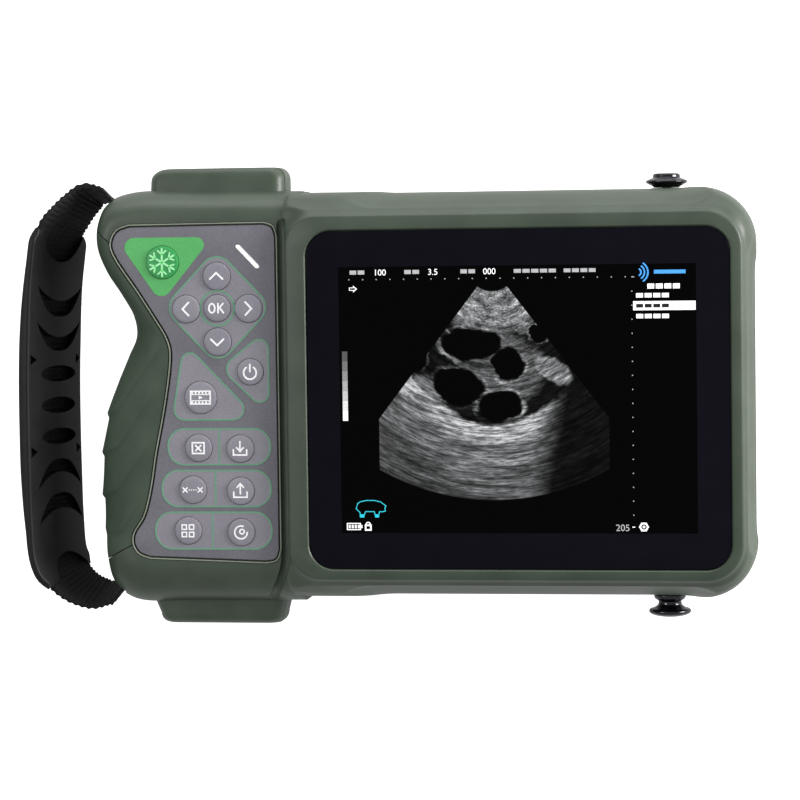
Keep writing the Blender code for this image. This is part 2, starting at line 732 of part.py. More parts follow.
def keypad_board():
    outline = [
        (-50.0, 52.0), (-88.0, 52.0), (-92.0, 46.0), (-86.0, 34.0), (-80.0, 20.0),
        (-81.0, 0.0), (-84.0, -20.0), (-86.5, -49.0), (-50.0, -49.0),
    ]
    slab("keypad_board", [outline], (KEYPAD_BOARD_TOP - BOARD_THICK, KEYPAD_BOARD_TOP), "board_green")


def key(name, x, y, diameter):
    """Button with a retaining flange under the shell; it travels along -Z onto its switch."""
    radius = diameter / 2
    top = GRIP_FACE_Z + KEY_PROUD
    ceiling = GRIP_FACE_Z - WALL
    profile = [
        (0.0, top), (radius - 0.5, top - 0.1), (radius, top - 0.55),
        (radius, ceiling - 0.3), (radius + KEY_FLANGE, ceiling - 0.3), (radius + KEY_FLANGE, ceiling - 1.2),
        (0.0, ceiling - 1.2),
    ]
    finish = "key_green" if name == "key_freeze" else "key_lavender"
    turned(name, [(r, z - GRIP_FACE_Z) for r, z in profile], (x, y, GRIP_FACE_Z), finish)


def power_light():
    slab("power_light_pipe", [slit_outline()], (KEYPAD_BOARD_TOP + 0.5, GRIP_FACE_Z + 0.1), "light_white")


# ---------------------------------------------------------------- inside

def inside_parts():
    main = box_outline((-34.0, 90.0), (-48.0, 46.0), 2.0, 2)
    slab("main_board", [main], (19.4, 21.0), "board_green")
    slab("beamformer_board", [box_outline((-34.0, 60.0), (-44.0, 42.0), 2.0, 2)], (10.4, 12.0), "board_green")
    slab("chassis_plate", [main], (24.0, 25.2), "steel")
    block("battery_pack", (-86.0, -39.0, 6.0), (-56.0, 30.0, 19.5), "battery_black", edge=1.5)


# ---------------------------------------------------------------- battery cover

def knuckle_plate(name, finish, x_range, reach, thick):
    """Plate with a round, bored hinge edge along X at y 0; the plate runs from it to y = -reach."""
    radius = thick / 2
    outline = arc((0.0, 0.0), radius, -90, 90, 8) + [Vector((-reach, radius)), Vector((-reach, -radius))]
    bore = arc((0.0, 0.0), PIN_RADIUS + PIN_GAP, 0, 330, 11)
    return slab(name, [outline, bore], x_range, finish)


def battery_openings():
    """Recess for the cover, its hinge clearance, and the way through to the battery."""
    recess = box_outline((COVER_X[0] - GAP, COVER_X[1] + GAP), (COVER_Y[0] - GAP, COVER_Y[1] - 3.0), 1.0)
    hinge = box_outline((COVER_X[0] - GAP, COVER_X[1] + GAP), (COVER_Y[1] - 6.0, COVER_Y[1] + 2.0), 0.6)
    through = box_outline((COVER_X[0] + 3.0, COVER_X[1] - 3.0), (COVER_Y[0] + 4.0, COVER_Y[1] - 5.0), 2.0)
    depth = REAR_Z + COVER_PLATE + GAP
    pin_spot = (0.0, COVER_Y[1], REAR_Z + COVER_PLATE / 2)
    pin_ends = (COVER_X[0] - 3.0, COVER_X[1] + 3.0)
    return [
        cylinder("pin_holes", PIN_RADIUS + GAP, *pin_ends, pin_spot, axis="X", sides=10),
        slab("cover_recess", [recess], (-5.0, depth)),
        slab("cover_hinge_recess", [hinge], (-5.0, depth + 0.2)),
        slab("battery_way", [through], (-5.0, 9.0)),
    ]


def battery_cover():
    """Lid hinged along X at its upper edge, with a coin lock at its lower end."""
    z = REAR_Z + COVER_PLATE / 2
    lid = knuckle_plate("battery_cover", "housing_green", COVER_X, COVER_Y[1] - COVER_Y[0], COVER_PLATE)
    turn_about_x(lid, (0.0, COVER_Y[1], z))
    x, y = (COVER_X[0] + COVER_X[1]) / 2, COVER_Y[0] + LOCK_INSET
    combine(lid, "DIFFERENCE", cylinder("lock_hole", LOCK_RADIUS + GAP, -5.0, 8.0, (x, y, 0.0), sides=16))
    lock = cylinder("cover_lock", LOCK_RADIUS, REAR_Z, REAR_Z + COVER_PLATE, (x, y, 0.0), "steel", sides=16)
    length, width, depth = COIN_SLOT
    low = (x - length / 2, y - width / 2, REAR_Z - 1.0)
    high = (x + length / 2, y + width / 2, REAR_Z + depth)
    combine(lock, "DIFFERENCE", block("coin_slot", low, high))
    cylinder("cover_hinge_pin", PIN_RADIUS, COVER_X[0] - 2.5, COVER_X[1] + 2.5, (0.0, COVER_Y[1], z),
             "steel", axis="X", sides=10)


def turn_about_x(item, hinge):
    """Stand a slab drawn in (y, z) and extruded along x on its hinge line."""
    mesh = item.data
    for vertex in mesh.vertices:
        along, across, x = vertex.co
        vertex.co = (x + item.location.z, along, across)
    item.location = Vector(hinge) * MM
    mesh.update()


# ---------------------------------------------------------------- ports in the bosses

def boss_openings():
    """Round well for the probe socket and a pocket for the charging port and its flap."""
    well = cylinder("socket_well", 6.9, 66.0, 90.0, (SOCKET_X, 0.0, SOCKET_Z), axis="Y", sides=20)
    pocket = block("port_pocket", (PORT_X[0] - GAP, -90.0, PORT_Z[0] - 0.6),
                   (PORT_X[1] + GAP, BOSS_BOTTOM + 2.4, PORT_Z[1] + GAP))
    way = block("port_way", (SOCKET_X - 5.4, -90.0, 11.7), (SOCKET_X + 5.4, -66.0, 16.9))
    return [well, pocket, way]


def probe_socket():
    """Round socket shell with a contact block standing in its bottom."""
    profile = [
        (0.0, 70.4), (3.2, 70.4), (3.2, 68.6), (5.2, 68.6), (5.2, BOSS_TOP + 0.4), (6.5, BOSS_TOP + 0.4),
        (6.5, 67.0), (0.0, 67.0),
    ]
    turned("probe_socket", profile, (SOCKET_X, 0.0, SOCKET_Z), "stud_black", axis="Y", sides=20)


def charge_port():
    """Charging port: a flat metal sleeve closed at its inner end."""
    low = (SOCKET_X - 5.0, BOSS_BOTTOM + 2.8, 12.1)
    high = (SOCKET_X + 5.0, -66.4, 16.5)
    sleeve = block("charge_port", low, high, "steel", edge=0.6)
    mouth_low = (low[0] + 0.6, low[1] - 2.0, low[2] + 0.6)
    mouth_high = (high[0] - 0.6, -67.4, high[2] - 0.6)
    combine(sleeve, "DIFFERENCE", block("port_mouth", mouth_low, mouth_high))


def port_flap():
    """Rubber flap over the charging port, hinged along X at its rear edge."""
    thick = 1.6
    rim = arc((0.0, 0.0), thick / 2, 180, 360, 8)
    height = PORT_Z[1] - PORT_Z[0] - thick / 2
    outline = rim + [Vector((thick / 2, height)), Vector((-thick / 2, height))]
    flap = slab("port_flap", [outline], PORT_X, "rubber_black")
    turn_about_x(flap, (0.0, BOSS_BOTTOM + 0.2 + thick / 2, PORT_Z[0] + thick / 2))


# ---------------------------------------------------------------- strap

STRAP_PATH = [
    STRAP_EXIT_UPPER, (-112.8, 67.9), (-117.2, 65.4), (-120.4, 61.2), (-122.4, 55.0), (-124.4, 44.0),
    (-125.9, 31.0), (-127.0, 10.0), (-127.2, -10.0), (-127.0, -27.0), (-126.3, -42.0), (-124.8, -54.0),
    (-122.0, -60.6), (-117.8, -64.9), (-112.6, -67.1), STRAP_EXIT_LOWER,
]


def strap_frames():
    """Centre, outward normal and tilt of the strap at each step of its path."""
    path = spline(STRAP_PATH, 2)
    lengths = [0.0]
    for a, b in zip(path, path[1:]):
        lengths.append(lengths[-1] + (b - a).length)
    frames = []
    for i, point in enumerate(path):
        along = (path[min(i + 1, len(path) - 1)] - path[max(i - 1, 0)]).normalized()
        outward = Vector((-along.y, along.x)) * -1.0
        share = smooth_step((min(lengths[i], lengths[-1] - lengths[i]) - 4.0) / 18.0)
        middle = Vector((point.x, point.y, ANCHOR_Z + (PAD_Z - ANCHOR_Z) * share))
        frames.append((middle, Vector((outward.x, outward.y, 0.0)), PAD_TILT * share, lengths[i]))
    return frames


def strap_ring(frame, width, thick, rounding):
    """Rectangular section with cut corners, tilted so that its front edge lies further out."""
    middle, outward, tilt, _ = frame
    across = outward * math.sin(tilt) + Vector((0.0, 0.0, math.cos(tilt)))
    through = outward * math.cos(tilt) - Vector((0.0, 0.0, math.sin(tilt)))
    w, t, c = width / 2, thick / 2, rounding
    half = [(w - c, t), (w, t - c), (w, c - t), (w - c, -t)]
    corners = half + [(-a, b) for a, b in reversed(half)]
    return [middle + across * a + through * b for a, b in corners]


def strap_webbing():
    """Flat webbing from one corner of the body to the other, through the hand pad."""
    frames = strap_frames()
    total = frames[-1][3]
    inside = [f for f in frames if STRAP_START_GAP < f[3] < total - STRAP_START_GAP]
    loft("strap_webbing", [strap_ring(f, WEBBING_WIDTH, WEBBING_THICK, 0.3) for f in inside], "webbing_black")


def hand_pad():
    """Rubber sleeve around the webbing: an outer skin and an inner channel joined at both ends."""
    frames = [f for f in strap_frames() if PAD_Y[0] < f[0].y < PAD_Y[1]]
    outer = []
    for i, frame in enumerate(frames):
        end = min(i, len(frames) - 1 - i)
        narrow = {0: 5.0, 1: 1.6, 2: 0.4}.get(end, 0.0)
        thin = 1.0 if end == 0 else 0.0
        outer.append(strap_ring(frame, PAD_WIDTH - narrow, PAD_THICK - thin, 1.4))
    channel = [strap_ring(frame, WEBBING_WIDTH + 2 * GAP, WEBBING_THICK + 2 * GAP, 0.3) for frame in frames]
    loft("hand_pad", outer + channel[::-1], "rubber_black", closed=True)


def strap_end(name, bar, way_out):
    """Sewn eye of the webbing around its bar, with the tail that leaves the body."""
    bar, way_out = Vector(bar), Vector(way_out)
    along = (way_out - bar).normalized()
    side = Vector((-along.y, along.x)) * WEBBING_THICK / 2
    angle = math.degrees(math.atan2(along.y, along.x))
    eye = STRAP_BAR_RADIUS + GAP + 1.5
    spread = math.degrees(math.asin(WEBBING_THICK / 2 / eye))
    outline = arc(bar, eye, angle + spread, angle + 360 - spread, 14) + [way_out - side, way_out + side]
    hole = arc(bar, STRAP_BAR_RADIUS + GAP, 0, 330, 11)
    half = WEBBING_WIDTH / 2
    slab(name, [outline, hole], (ANCHOR_Z - half, ANCHOR_Z + half), "webbing_black")


def strap_bar(name, bar):
    cylinder(name, STRAP_BAR_RADIUS, ANCHOR_Z - 10.3, ANCHOR_Z + 10.3, (*bar, 0.0), "steel", sides=12)


def strap_stud(side):
    """Round-headed stud for a carrying strap."""
    name, axis = stud_side(side)
    head = [
        (0.0, 72.2), (3.8, 72.2), (4.3, 71.8), (4.3, 71.0), (6.5, 70.9), (6.9, 70.5), (6.9, 69.5),
        (6.5, 69.1), (4.15, 68.9),
    ]
    seat = STUD_SEAT_Y + GAP
    profile = [(r, height + STUD_NECK[side]) for r, height in head]
    profile += [(4.15, seat), (1.4, seat), (1.4, 57.0), (0.0, 57.0)]
    turned(f"strap_stud_{name}", profile, (STUD_X, 0.0, STUD_Z), "stud_black", axis=axis, sides=18)


# ---------------------------------------------------------------- fasteners and feet

def screws_and_feet():
    for number, (x, y) in enumerate(SCREWS, 1):
        profile = [
            (0.0, 26.0), (1.3, 26.0), (1.3, 4.1), (2.8, 4.1), (2.8, 2.0), (1.3, 2.0), (1.3, 3.0), (0.0, 3.0),
        ]
        turned(f"housing_screw_{number}", profile, (x, y, 0.0), "steel", sides=12)
    profile = [(0.0, 2.2), (FOOT_RADIUS, 2.2), (FOOT_RADIUS, 0.6), (FOOT_RADIUS - 0.6, 0.0), (0.0, 0.0)]
    for number, (x, y) in enumerate(FEET, 1):
        turned(f"foot_{number}", profile, (x, y, FOOT_BOTTOM), "rubber_black", sides=16)


# ---------------------------------------------------------------- build

clear_scene()
PARTS = new_collection("ultrasound_scanner")
CUTTERS = new_collection("cutters")
CARRIER = bpy.data.objects.new("scanner_carrier", None)
CARRIER.location = Vector(CENTRE_SHIFT) * MM
CUTTERS.objects.link(CARRIER)
MATERIALS = {name: new_finish(name) for name in FINISHES}


def main():
    outer, inner, seal_out, seal_in = body_forms()
    cover_room = grip_cover_region("cover_room", GAP)
    combine(cover_room, "DIFFERENCE", grip_form("cover_seat", COVER_THICK + GAP))
    shared = [cover_room] + strap_cutters() + boss_openings()
    front_housing(outer, inner, shared)
    rear_housing(outer, inner, shared)
    housing_gasket(seal_out, seal_in)
    grip_cover()
    display_parts()
    keypad_overlay()
    keypad_board()
    for name, spot in KEYS.items():
        key(name, *spot)
    power_light()
    inside_parts()
    battery_cover()
    probe_socket()
    charge_port()
    port_flap()
    strap_webbing()
    hand_pad()
    strap_end("strap_end_upper", STRAP_BAR_UPPER, STRAP_EXIT_UPPER)
    strap_end("strap_end_lower", STRAP_BAR_LOWER, STRAP_EXIT_LOWER)
    strap_bar("strap_bar_upper", STRAP_BAR_UPPER)
    strap_bar("strap_bar_lower", STRAP_BAR_LOWER)
    strap_stud(1)
    strap_stud(-1)
    screws_and_feet()
    shade()


main()
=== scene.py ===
"""Looks of the hand-held veterinary ultrasound scanner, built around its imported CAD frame.

Lengths are in millimetres, measured from the middle of the scanner's body, and become metres (MM) where a
mesh is made. Every new object sits at ORIGIN, the place of that middle in the row frame.
"""

import json
import math

import bmesh
import bpy
from mathutils import Matrix, Vector

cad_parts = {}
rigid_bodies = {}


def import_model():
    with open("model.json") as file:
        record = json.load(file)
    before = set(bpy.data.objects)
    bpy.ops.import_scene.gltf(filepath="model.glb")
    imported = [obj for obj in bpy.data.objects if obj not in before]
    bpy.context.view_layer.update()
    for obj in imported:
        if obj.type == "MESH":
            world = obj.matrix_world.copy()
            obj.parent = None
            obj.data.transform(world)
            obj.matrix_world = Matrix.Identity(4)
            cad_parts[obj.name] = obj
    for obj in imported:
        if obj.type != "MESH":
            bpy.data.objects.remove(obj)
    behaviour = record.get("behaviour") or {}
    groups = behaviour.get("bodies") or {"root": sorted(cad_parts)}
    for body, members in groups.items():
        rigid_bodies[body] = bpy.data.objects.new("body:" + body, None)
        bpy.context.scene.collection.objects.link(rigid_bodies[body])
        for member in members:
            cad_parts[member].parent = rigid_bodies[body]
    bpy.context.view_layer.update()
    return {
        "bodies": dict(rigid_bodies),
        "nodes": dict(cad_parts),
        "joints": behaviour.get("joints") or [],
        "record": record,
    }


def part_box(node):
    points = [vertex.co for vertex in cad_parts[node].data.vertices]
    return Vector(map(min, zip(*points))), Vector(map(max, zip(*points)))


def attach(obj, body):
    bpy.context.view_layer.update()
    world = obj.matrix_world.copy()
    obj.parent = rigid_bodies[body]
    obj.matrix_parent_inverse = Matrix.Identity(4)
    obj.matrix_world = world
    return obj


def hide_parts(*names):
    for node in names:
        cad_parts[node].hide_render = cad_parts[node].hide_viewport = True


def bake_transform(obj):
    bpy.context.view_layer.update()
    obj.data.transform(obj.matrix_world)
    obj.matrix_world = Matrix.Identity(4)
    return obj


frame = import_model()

MM = 0.001
GAP = 0.3
UP = Vector((0.0, 0.0, 1.0))

# Places taken from the frame
WINDOW_CENTRE = Vector((32.0, -1.0))
WINDOW_LOW, WINDOW_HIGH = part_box("display_window")
WINDOW_MIDDLE = (WINDOW_LOW + WINDOW_HIGH) / 2
ORIGIN = Vector((WINDOW_MIDDLE.x - WINDOW_CENTRE.x * MM, WINDOW_MIDDLE.y - WINDOW_CENTRE.y * MM, 0.0))
WINDOW_SIZE = ((WINDOW_HIGH.x - WINDOW_LOW.x) / MM, (WINDOW_HIGH.y - WINDOW_LOW.y) / MM)
WINDOW_Z = (WINDOW_LOW.z / MM, WINDOW_HIGH.z / MM)
OVERLAY_Z = (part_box("keypad_overlay")[0].z / MM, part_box("keypad_overlay")[1].z / MM)
KEY_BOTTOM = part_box("key_ok")[0].z / MM
KEY_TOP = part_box("key_ok")[1].z / MM
REAR_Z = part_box("rear_housing")[0].z / MM
FRAME_FACE_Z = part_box("front_housing")[1].z / MM
GRIP_FACE_Z = OVERLAY_Z[1]

# Shells
PARTING_Z = 19.0
PARTING_GAP = 1.0
FRAME_LEFT = -43.0
FRAME = (104.2, 58.8, -59.4)
BLOCK = (107.8, 66.3, -66.1)
BLOCK_LEFT = -44.7
JOIN_X = -40.0
WALL = 2.8
GRIP_WALL = 4.4
REAR_WALL = 3.5
DISPLAY_CEILING = 34.0
COVER_THICK = 1.6
COVER_RIM = 1.3
COVER_BOTTOM = 7.0
GRIP_ROLL = 13.0
REAR_ROLL = 9.0
REAR_SHARE = 0.45
WINDOW_CORNER = 8.0
BEYOND_X, BEYOND_Y = 120.0, 90.0

# Scan on the display: fan, back wall (lowest point and curvature), speckle, and ovals (x, y, half sizes, tilt)
LIT_SIZE = (115.0, 86.0)
SCAN_APEX = (24.4, 41.5)
SCAN_REACH = (7.6, 74.9)
SCAN_HALF_ANGLE = math.radians(37.6)
SCAN_CLIP = 37.3
SCAN_WALL = (25.0, -8.2, 0.0205)
SCAN_BEAM_SPREAD = 26.0
SCAN_SHAKE = 4.0
SCAN_DARKEST = 0.05
SCAN_CONTRAST = 1.6
SCAN_TISSUE = [
    ((28.0, 8.5, 14.0, 12.5, 0.0), 0.36),
    ((43.5, 8.3, 7.5, 3.8, -32.0), 0.62),
    ((2.5, 1.5, 5.0, 7.0, 25.0), 0.50),
    ((33.5, 22.5, 3.0, 3.0, 0.0), 0.55),
]
SCAN_HOLLOWS = [
    (17.6, 16.8, 9.6, 5.4, -4.0),
    (29.3, 10.4, 5.1, 5.9, 10.0),
    (13.4, 3.0, 8.4, 6.3, -12.0),
    (26.6, -2.9, 7.4, 4.9, 4.0),
    (-2.5, 13.5, 5.5, 5.5, 45.0),
    (38.6, 20.2, 3.6, 2.6, -30.0),
]

# Finger cover steps (top and bottom of each) and side scoops (profile column, side, outer limit, sweep)
FINGER_STEPS = [(20.0, 4.0), (4.0, -8.0), (-8.0, -22.0), (-22.0, -37.0)]
STEP_HEIGHT = 1.1
STEP_FADE = 5.0
STEP_END_FADE = 3.0
STEP_Y = (-46.0, 22.0)
SCOOP_TOP = 33.75
SCOOP_STEP = 0.45
SCOOP_SIDES = {
    "end": (6, 0, 130.0, (-42.0, 38.0, 16.0, 3.5)),
    "upper": (5, 1, 95.0, (-8.0, 80.0, 24.0, 5.0)),
    "lower": (5, 2, 95.0, (-10.0, 80.0, 24.0, 5.0)),
}

# Block profile: rise, share of the widening, inset, corner radius, left corner radius, side and end scoop
BLOCK_LEVELS = [
    (0.0, -0.10, 3.0, 9.0, 2.0, 0.0, 0.0),
    (1.2, 0.05, 1.2, 11.0, 2.0, 0.1, 0.1),
    (4.0, 0.45, 0.0, 14.0, 2.0, 0.2, 0.3),
    (9.0, 0.85, 0.0, 17.0, 2.0, 0.2, 0.5),
    (15.0, 1.00, 0.0, 18.0, 2.0, 0.3, 0.6),
    (21.0, 1.00, 0.0, 18.0, 2.0, 0.8, 1.0),
    (26.0, 0.93, 0.0, 17.0, 2.0, 2.0, 1.7),
    (30.0, 0.72, 0.0, 15.0, 2.6, 2.3, 1.6),
    (32.3, 0.46, 0.0, 13.2, 3.6, 1.4, 1.0),
    (33.6, 0.30, 0.0, 12.2, 6.0, 0.7, 0.5),
    (35.6, 0.02, 0.0, 12.0, 10.0, 0.0, 0.0),
    (36.2, 0.00, 0.3, 11.7, 10.0, 0.0, 0.0),
    (36.5, 0.00, 0.9, 11.2, 10.0, 0.0, 0.0),
]
BLOCK_STEPS = 4

# Grip: pairs of the flat face's edge and the silhouette, from the top round the left side
GRIP_PAIRS = [
    ((-40.0, 58.0), (-40.0, 67.0)),
    ((-70.0, 58.2), (-70.0, 67.3)),
    ((-95.0, 57.8), (-96.5, 67.3)),
    ((-100.8, 55.9), (-104.6, 64.2)),
    ((-103.0, 52.3), (-108.1, 57.5)),
    ((-102.4, 47.5), (-108.4, 49.5)),
    ((-98.7, 41.4), (-105.4, 41.2)),
    ((-93.6, 33.4), (-100.5, 33.6)),
    ((-88.4, 25.4), (-96.7, 26.6)),
    ((-84.3, 18.9), (-96.0, 19.9)),
    ((-83.1, 12.4), (-98.8, 13.4)),
    ((-84.3, 3.2), (-102.6, 4.4)),
    ((-86.2, -6.4), (-106.0, -6.6)),
    ((-88.1, -17.6), (-107.8, -18.0)),
    ((-90.2, -29.2), (-108.0, -30.0)),
    ((-93.6, -40.2), (-107.5, -42.0)),
    ((-97.1, -47.2), (-107.0, -54.0)),
    ((-96.0, -52.4), (-104.4, -62.4)),
    ((-90.6, -54.4), (-97.6, -67.4)),
    ((-76.0, -55.0), (-78.0, -67.8)),
    ((-40.0, -56.2), (-40.0, -67.6)),
]
PANEL_POINTS = [
    (-50.6, 56.0), (-70.0, 55.9), (-95.4, 55.7), (-99.2, 54.2), (-101.0, 50.6), (-100.3, 47.3),
    (-92.1, 34.8), (-86.4, 25.8), (-83.1, 20.3), (-81.7, 16.0), (-81.7, 11.2), (-82.9, 2.0),
    (-84.7, -8.0), (-86.9, -18.5), (-88.8, -30.0), (-91.4, -39.4), (-94.8, -44.9), (-95.0, -48.0),
    (-93.4, -50.6), (-90.0, -52.0), (-70.0, -52.7), (-51.2, -53.4), (-48.2, -52.6), (-47.1, -49.6),
    (-47.1, 52.0), (-48.1, 55.0),
]

# Floor of the channel beside the keypad face
GROOVE_TOP = [(BLOCK_LEFT, y, z) for y, z in
              ((58.2, 35.0), (57.8, 34.2), (57.1, 33.5), (56.2, 33.0), (55.2, 32.8), (54.0, 32.7))]
GROOVE_LINE = [
    (BLOCK_LEFT, -42.0, 32.6), (BLOCK_LEFT, -47.5, 32.6), (BLOCK_LEFT, -53.0, 32.4), (-46.0, -58.5, 31.7),
    (-48.6, -63.5, 28.7), (-50.4, -66.6, 25.2), (-51.8, -69.0, 24.6),
]

# Thick block behind the grip
BOSS_X = {"upper": (-91.0, -46.1), "lower": (-94.0, -46.0)}
BOSS_Z = (5.0, 24.0)
BOSS_TOP = 74.9
BOSS_BOTTOM = -75.6
BOSS_TAPER = 4.4
BOSS_CORNER = 4.0
BOSS_HOLLOW = ((-90.0, -70.5, 8.0), (-50.0, 70.5, 21.0))

# Keys: centre and disc diameter
KEYS = {
    "key_freeze": (-84.3, 44.2, 10.8),
    "key_up": (-66.3, 39.5, 9.1),
    "key_left": (-76.6, 28.9, 9.1),
    "key_ok": (-66.3, 29.1, 8.8),
    "key_right": (-55.9, 28.9, 9.1),
    "key_down": (-66.3, 18.1, 9.1),
    "key_power": (-55.6, 8.3, 8.6),
    "key_cine": (-72.2, 0.0, 10.6),
    "key_clear": (-73.2, -16.5, 9.0),
    "key_save": (-59.3, -16.8, 9.0),
    "key_measure": (-75.3, -30.2, 9.0),
    "key_output": (-59.4, -30.6, 9.0),
    "key_menu": (-77.1, -43.6, 9.0),
    "key_obstetric": (-59.4, -44.1, 9.0),
}
POWER_SLIT = ((-59.3, 49.1), (-53.0, 42.5))
POWER_SLIT_WIDTH = 1.15
KEY_GAP = 0.14
KEY_DOME = 0.22
KEY_FLANGE = 0.55
THROUGH_FACE = (28.0, 45.0)

# Strap
WEBBING_WIDTH = 20.0
WEBBING_THICK = 2.0
PAD_WIDTH = 31.0
PAD_TILT = math.radians(20.5)
PAD_Y = (-60.4, 54.5)
ANCHOR_Z = 16.0
PAD_Z = 18.5
STRAP_BARS = {"upper": (-96.5, 57.0), "lower": (-96.0, -57.5)}
STRAP_EXITS = {"upper": (-107.0, 66.6), "lower": (-105.5, -66.3)}
STRAP_PATH = [
    STRAP_EXITS["upper"], (-111.8, 66.9), (-115.8, 63.8), (-119.3, 59.7), (-122.4, 55.0), (-124.4, 44.0),
    (-125.9, 31.0), (-127.0, 10.0), (-127.2, -10.0), (-127.0, -27.0), (-126.3, -42.0), (-125.0, -54.0),
    (-121.7, -60.2), (-117.3, -64.4), (-111.7, -66.6), STRAP_EXITS["lower"],
]

# Studs, ports, battery cover, screws and feet
STUD_X = 79.0
STUD_Z = 11.2
STUD_SEAT_SHOWN = 66.2
STUD_HEADS = {
    "upper": [(0.0, 71.0), (3.9, 71.0), (4.4, 70.6), (4.5, 69.6), (6.5, 68.8), (6.9, 68.3), (6.5, 67.8),
              (5.0, 67.0), (4.3, 66.7), (4.3, 66.35)],
    "lower": [(0.0, 73.7), (3.4, 73.6), (5.4, 73.2), (6.7, 72.5), (7.0, 71.8), (6.6, 71.1), (5.0, 70.6),
              (3.9, 69.8), (3.7, 68.6), (4.9, 67.8), (5.2, 67.2), (5.2, 66.35)],
}
STUD_SEAT_RADII = (8.2, 5.4)
STUD_HOLE_RADIUS = 1.7
SOCKET_RADIUS = 5.0
SOCKET_X = -70.0
SOCKET_Z = 14.5
PORT_X = (-78.0, -58.0)
PORT_Z = (10.5, 18.0)
COVER_X = (-90.0, -52.0)
COVER_Y = (-44.0, 36.0)
COVER_PLATE = 2.0
PIN_RADIUS = 0.4
LOCK_RADIUS = 4.0
SCREWS = [(96.0, 55.0), (96.0, -55.0), (-39.5, 55.0), (-39.5, -55.0)]
REAR_POST_RADIUS = 3.9
FRONT_POST_RADIUS = 3.2
FRONT_POST_TOP = 34.6
PILOT_RADIUS = 1.6
PILOT_Z = (10.0, 30.5)
SCREW_HOLE = [(0.0, 30.0), (1.7, 30.0), (1.7, 4.4), (3.1, 4.4), (3.1, 1.9), (4.2, 0.8), (4.2, -1.0), (0.0, -1.0)]
SCREW_SHAPE = [(0.0, 26.0), (1.3, 26.0), (1.3, 4.1), (2.8, 4.1), (2.8, 2.4), (2.2, 2.0), (0.0, 2.0)]
FEET = [(88.0, 40.0), (88.0, -42.0), (-75.0, 50.0), (-75.0, -53.5)]
FOOT_RADIUS = 5.0
FOOT_SEAT_Z = 2.5
FOOT_SHAPE = [(0.0, 2.2), (FOOT_RADIUS, 2.2), (FOOT_RADIUS, 0.5), (FOOT_RADIUS - 0.5, 0.0), (3.2, 0.0), (3.0, 0.3),
              (2.2, 0.3), (2.0, 0.0), (0.0, 0.0)]

# Turn (angle, matrix size, about) that lays a solid of revolution along an axis
TURNS = {
    "Z": (0.0, 4, "X"),
    "Y": (-math.pi / 2, 4, "X"),
    "-Y": (math.pi / 2, 4, "X"),
    "X": (math.pi / 2, 4, "Y"),
}

# Mesh detail
STROKE_END_STEPS = 5
RIM_STEPS = 3
WELD_DISTANCE = 0.002


# ---------------------------------------------------------------- outlines

def spline(points, steps):
    """Points along a centripetal Catmull-Rom curve, which doesn't loop between unevenly spaced points."""
    points = [Vector(point) for point in points]
    ends = [points[0] * 2 - points[1]] + points + [points[-1] * 2 - points[-2]]
    result = []
    for a, b, c, d in zip(ends, ends[1:], ends[2:], ends[3:]):
        before, between, after = ((q - p).length ** 0.5 for p, q in ((a, b), (b, c), (c, d)))
        leave = (b - a) * (between / before) - (c - a) * (between / (before + between)) + (c - b)
        arrive = (c - b) - (d - b) * (between / (between + after)) + (d - c) * (between / after)
        for step in range(steps):
            t = step / steps
            result.append(
                b * (2 * t ** 3 - 3 * t ** 2 + 1) + leave * (t ** 3 - 2 * t ** 2 + t)
                + c * (3 * t ** 2 - 2 * t ** 3) + arrive * (t ** 3 - t ** 2)
            )
    return result + [points[-1]]


def arc(centre, radius, start, end, steps):
    angles = [math.radians(start + (end - start) * i / steps) for i in range(steps + 1)]
    return [Vector((centre[0] + radius * math.cos(a), centre[1] + radius * math.sin(a))) for a in angles]


def rounded_rectangle(centre, size, radius, steps=10):
    half_x, half_y = size[0] / 2 - radius, size[1] / 2 - radius
    points = []
    for side_x, side_y, angle in [(1, 1, 0), (-1, 1, 90), (-1, -1, 180), (1, -1, 270)]:
        middle = (centre[0] + side_x * half_x, centre[1] + side_y * half_y)
        points += arc(middle, radius, angle, angle + 90, steps)
    return points


def ellipse(centre, half_x, half_y, count=40):
    turns = [2 * math.pi * i / count for i in range(count)]
    return [(centre[0] + half_x * math.cos(a), centre[1] + half_y * math.sin(a)) for a in turns]


def box_outline(x_range, y_range, radius=1.0, steps=6):
    centre = (sum(x_range) / 2, sum(y_range) / 2)
    size = (x_range[1] - x_range[0], y_range[1] - y_range[0])
    return rounded_rectangle(centre, size, radius, steps)


def stadium(start, end, width, steps=10):
    along = Vector(end) - Vector(start)
    angle = math.degrees(math.atan2(along.y, along.x))
    return (arc(end, width / 2, angle - 90, angle + 90, steps)
            + arc(start, width / 2, angle + 90, angle + 270, steps))


def rounded_polygon(corners, radii, steps=8):
    """Counter-clockwise polygon whose corners are rounded, each by its own radius."""
    points = []
    for i, (corner, radius) in enumerate(zip(corners, radii)):
        corner = Vector(corner)
        back = (Vector(corners[i - 1]) - corner).normalized()
        ahead = (Vector(corners[(i + 1) % len(corners)]) - corner).normalized()
        half = back.angle(ahead) / 2
        middle = corner + (back + ahead).normalized() * radius / math.sin(half)
        reach = radius / math.tan(half)
        first = corner + back * reach - middle
        last = corner + ahead * reach - middle
        start = math.atan2(first.y, first.x)
        turn = (math.atan2(last.y, last.x) - start) % (2 * math.pi)
        points += arc(middle, radius, math.degrees(start), math.degrees(start + turn), steps)
    return points


def grow(points, distance):
    """Move each point of a counter-clockwise outline along its outward normal."""
    result = []
    for i, point in enumerate(points):
        along = points[(i + 1) % len(points)] - points[i - 1]
        if along.length < 1e-9:
            along = points[(i + 2) % len(points)] - points[i - 1]
        result.append(point + Vector((along.y, -along.x)).normalized() * distance)
    return result


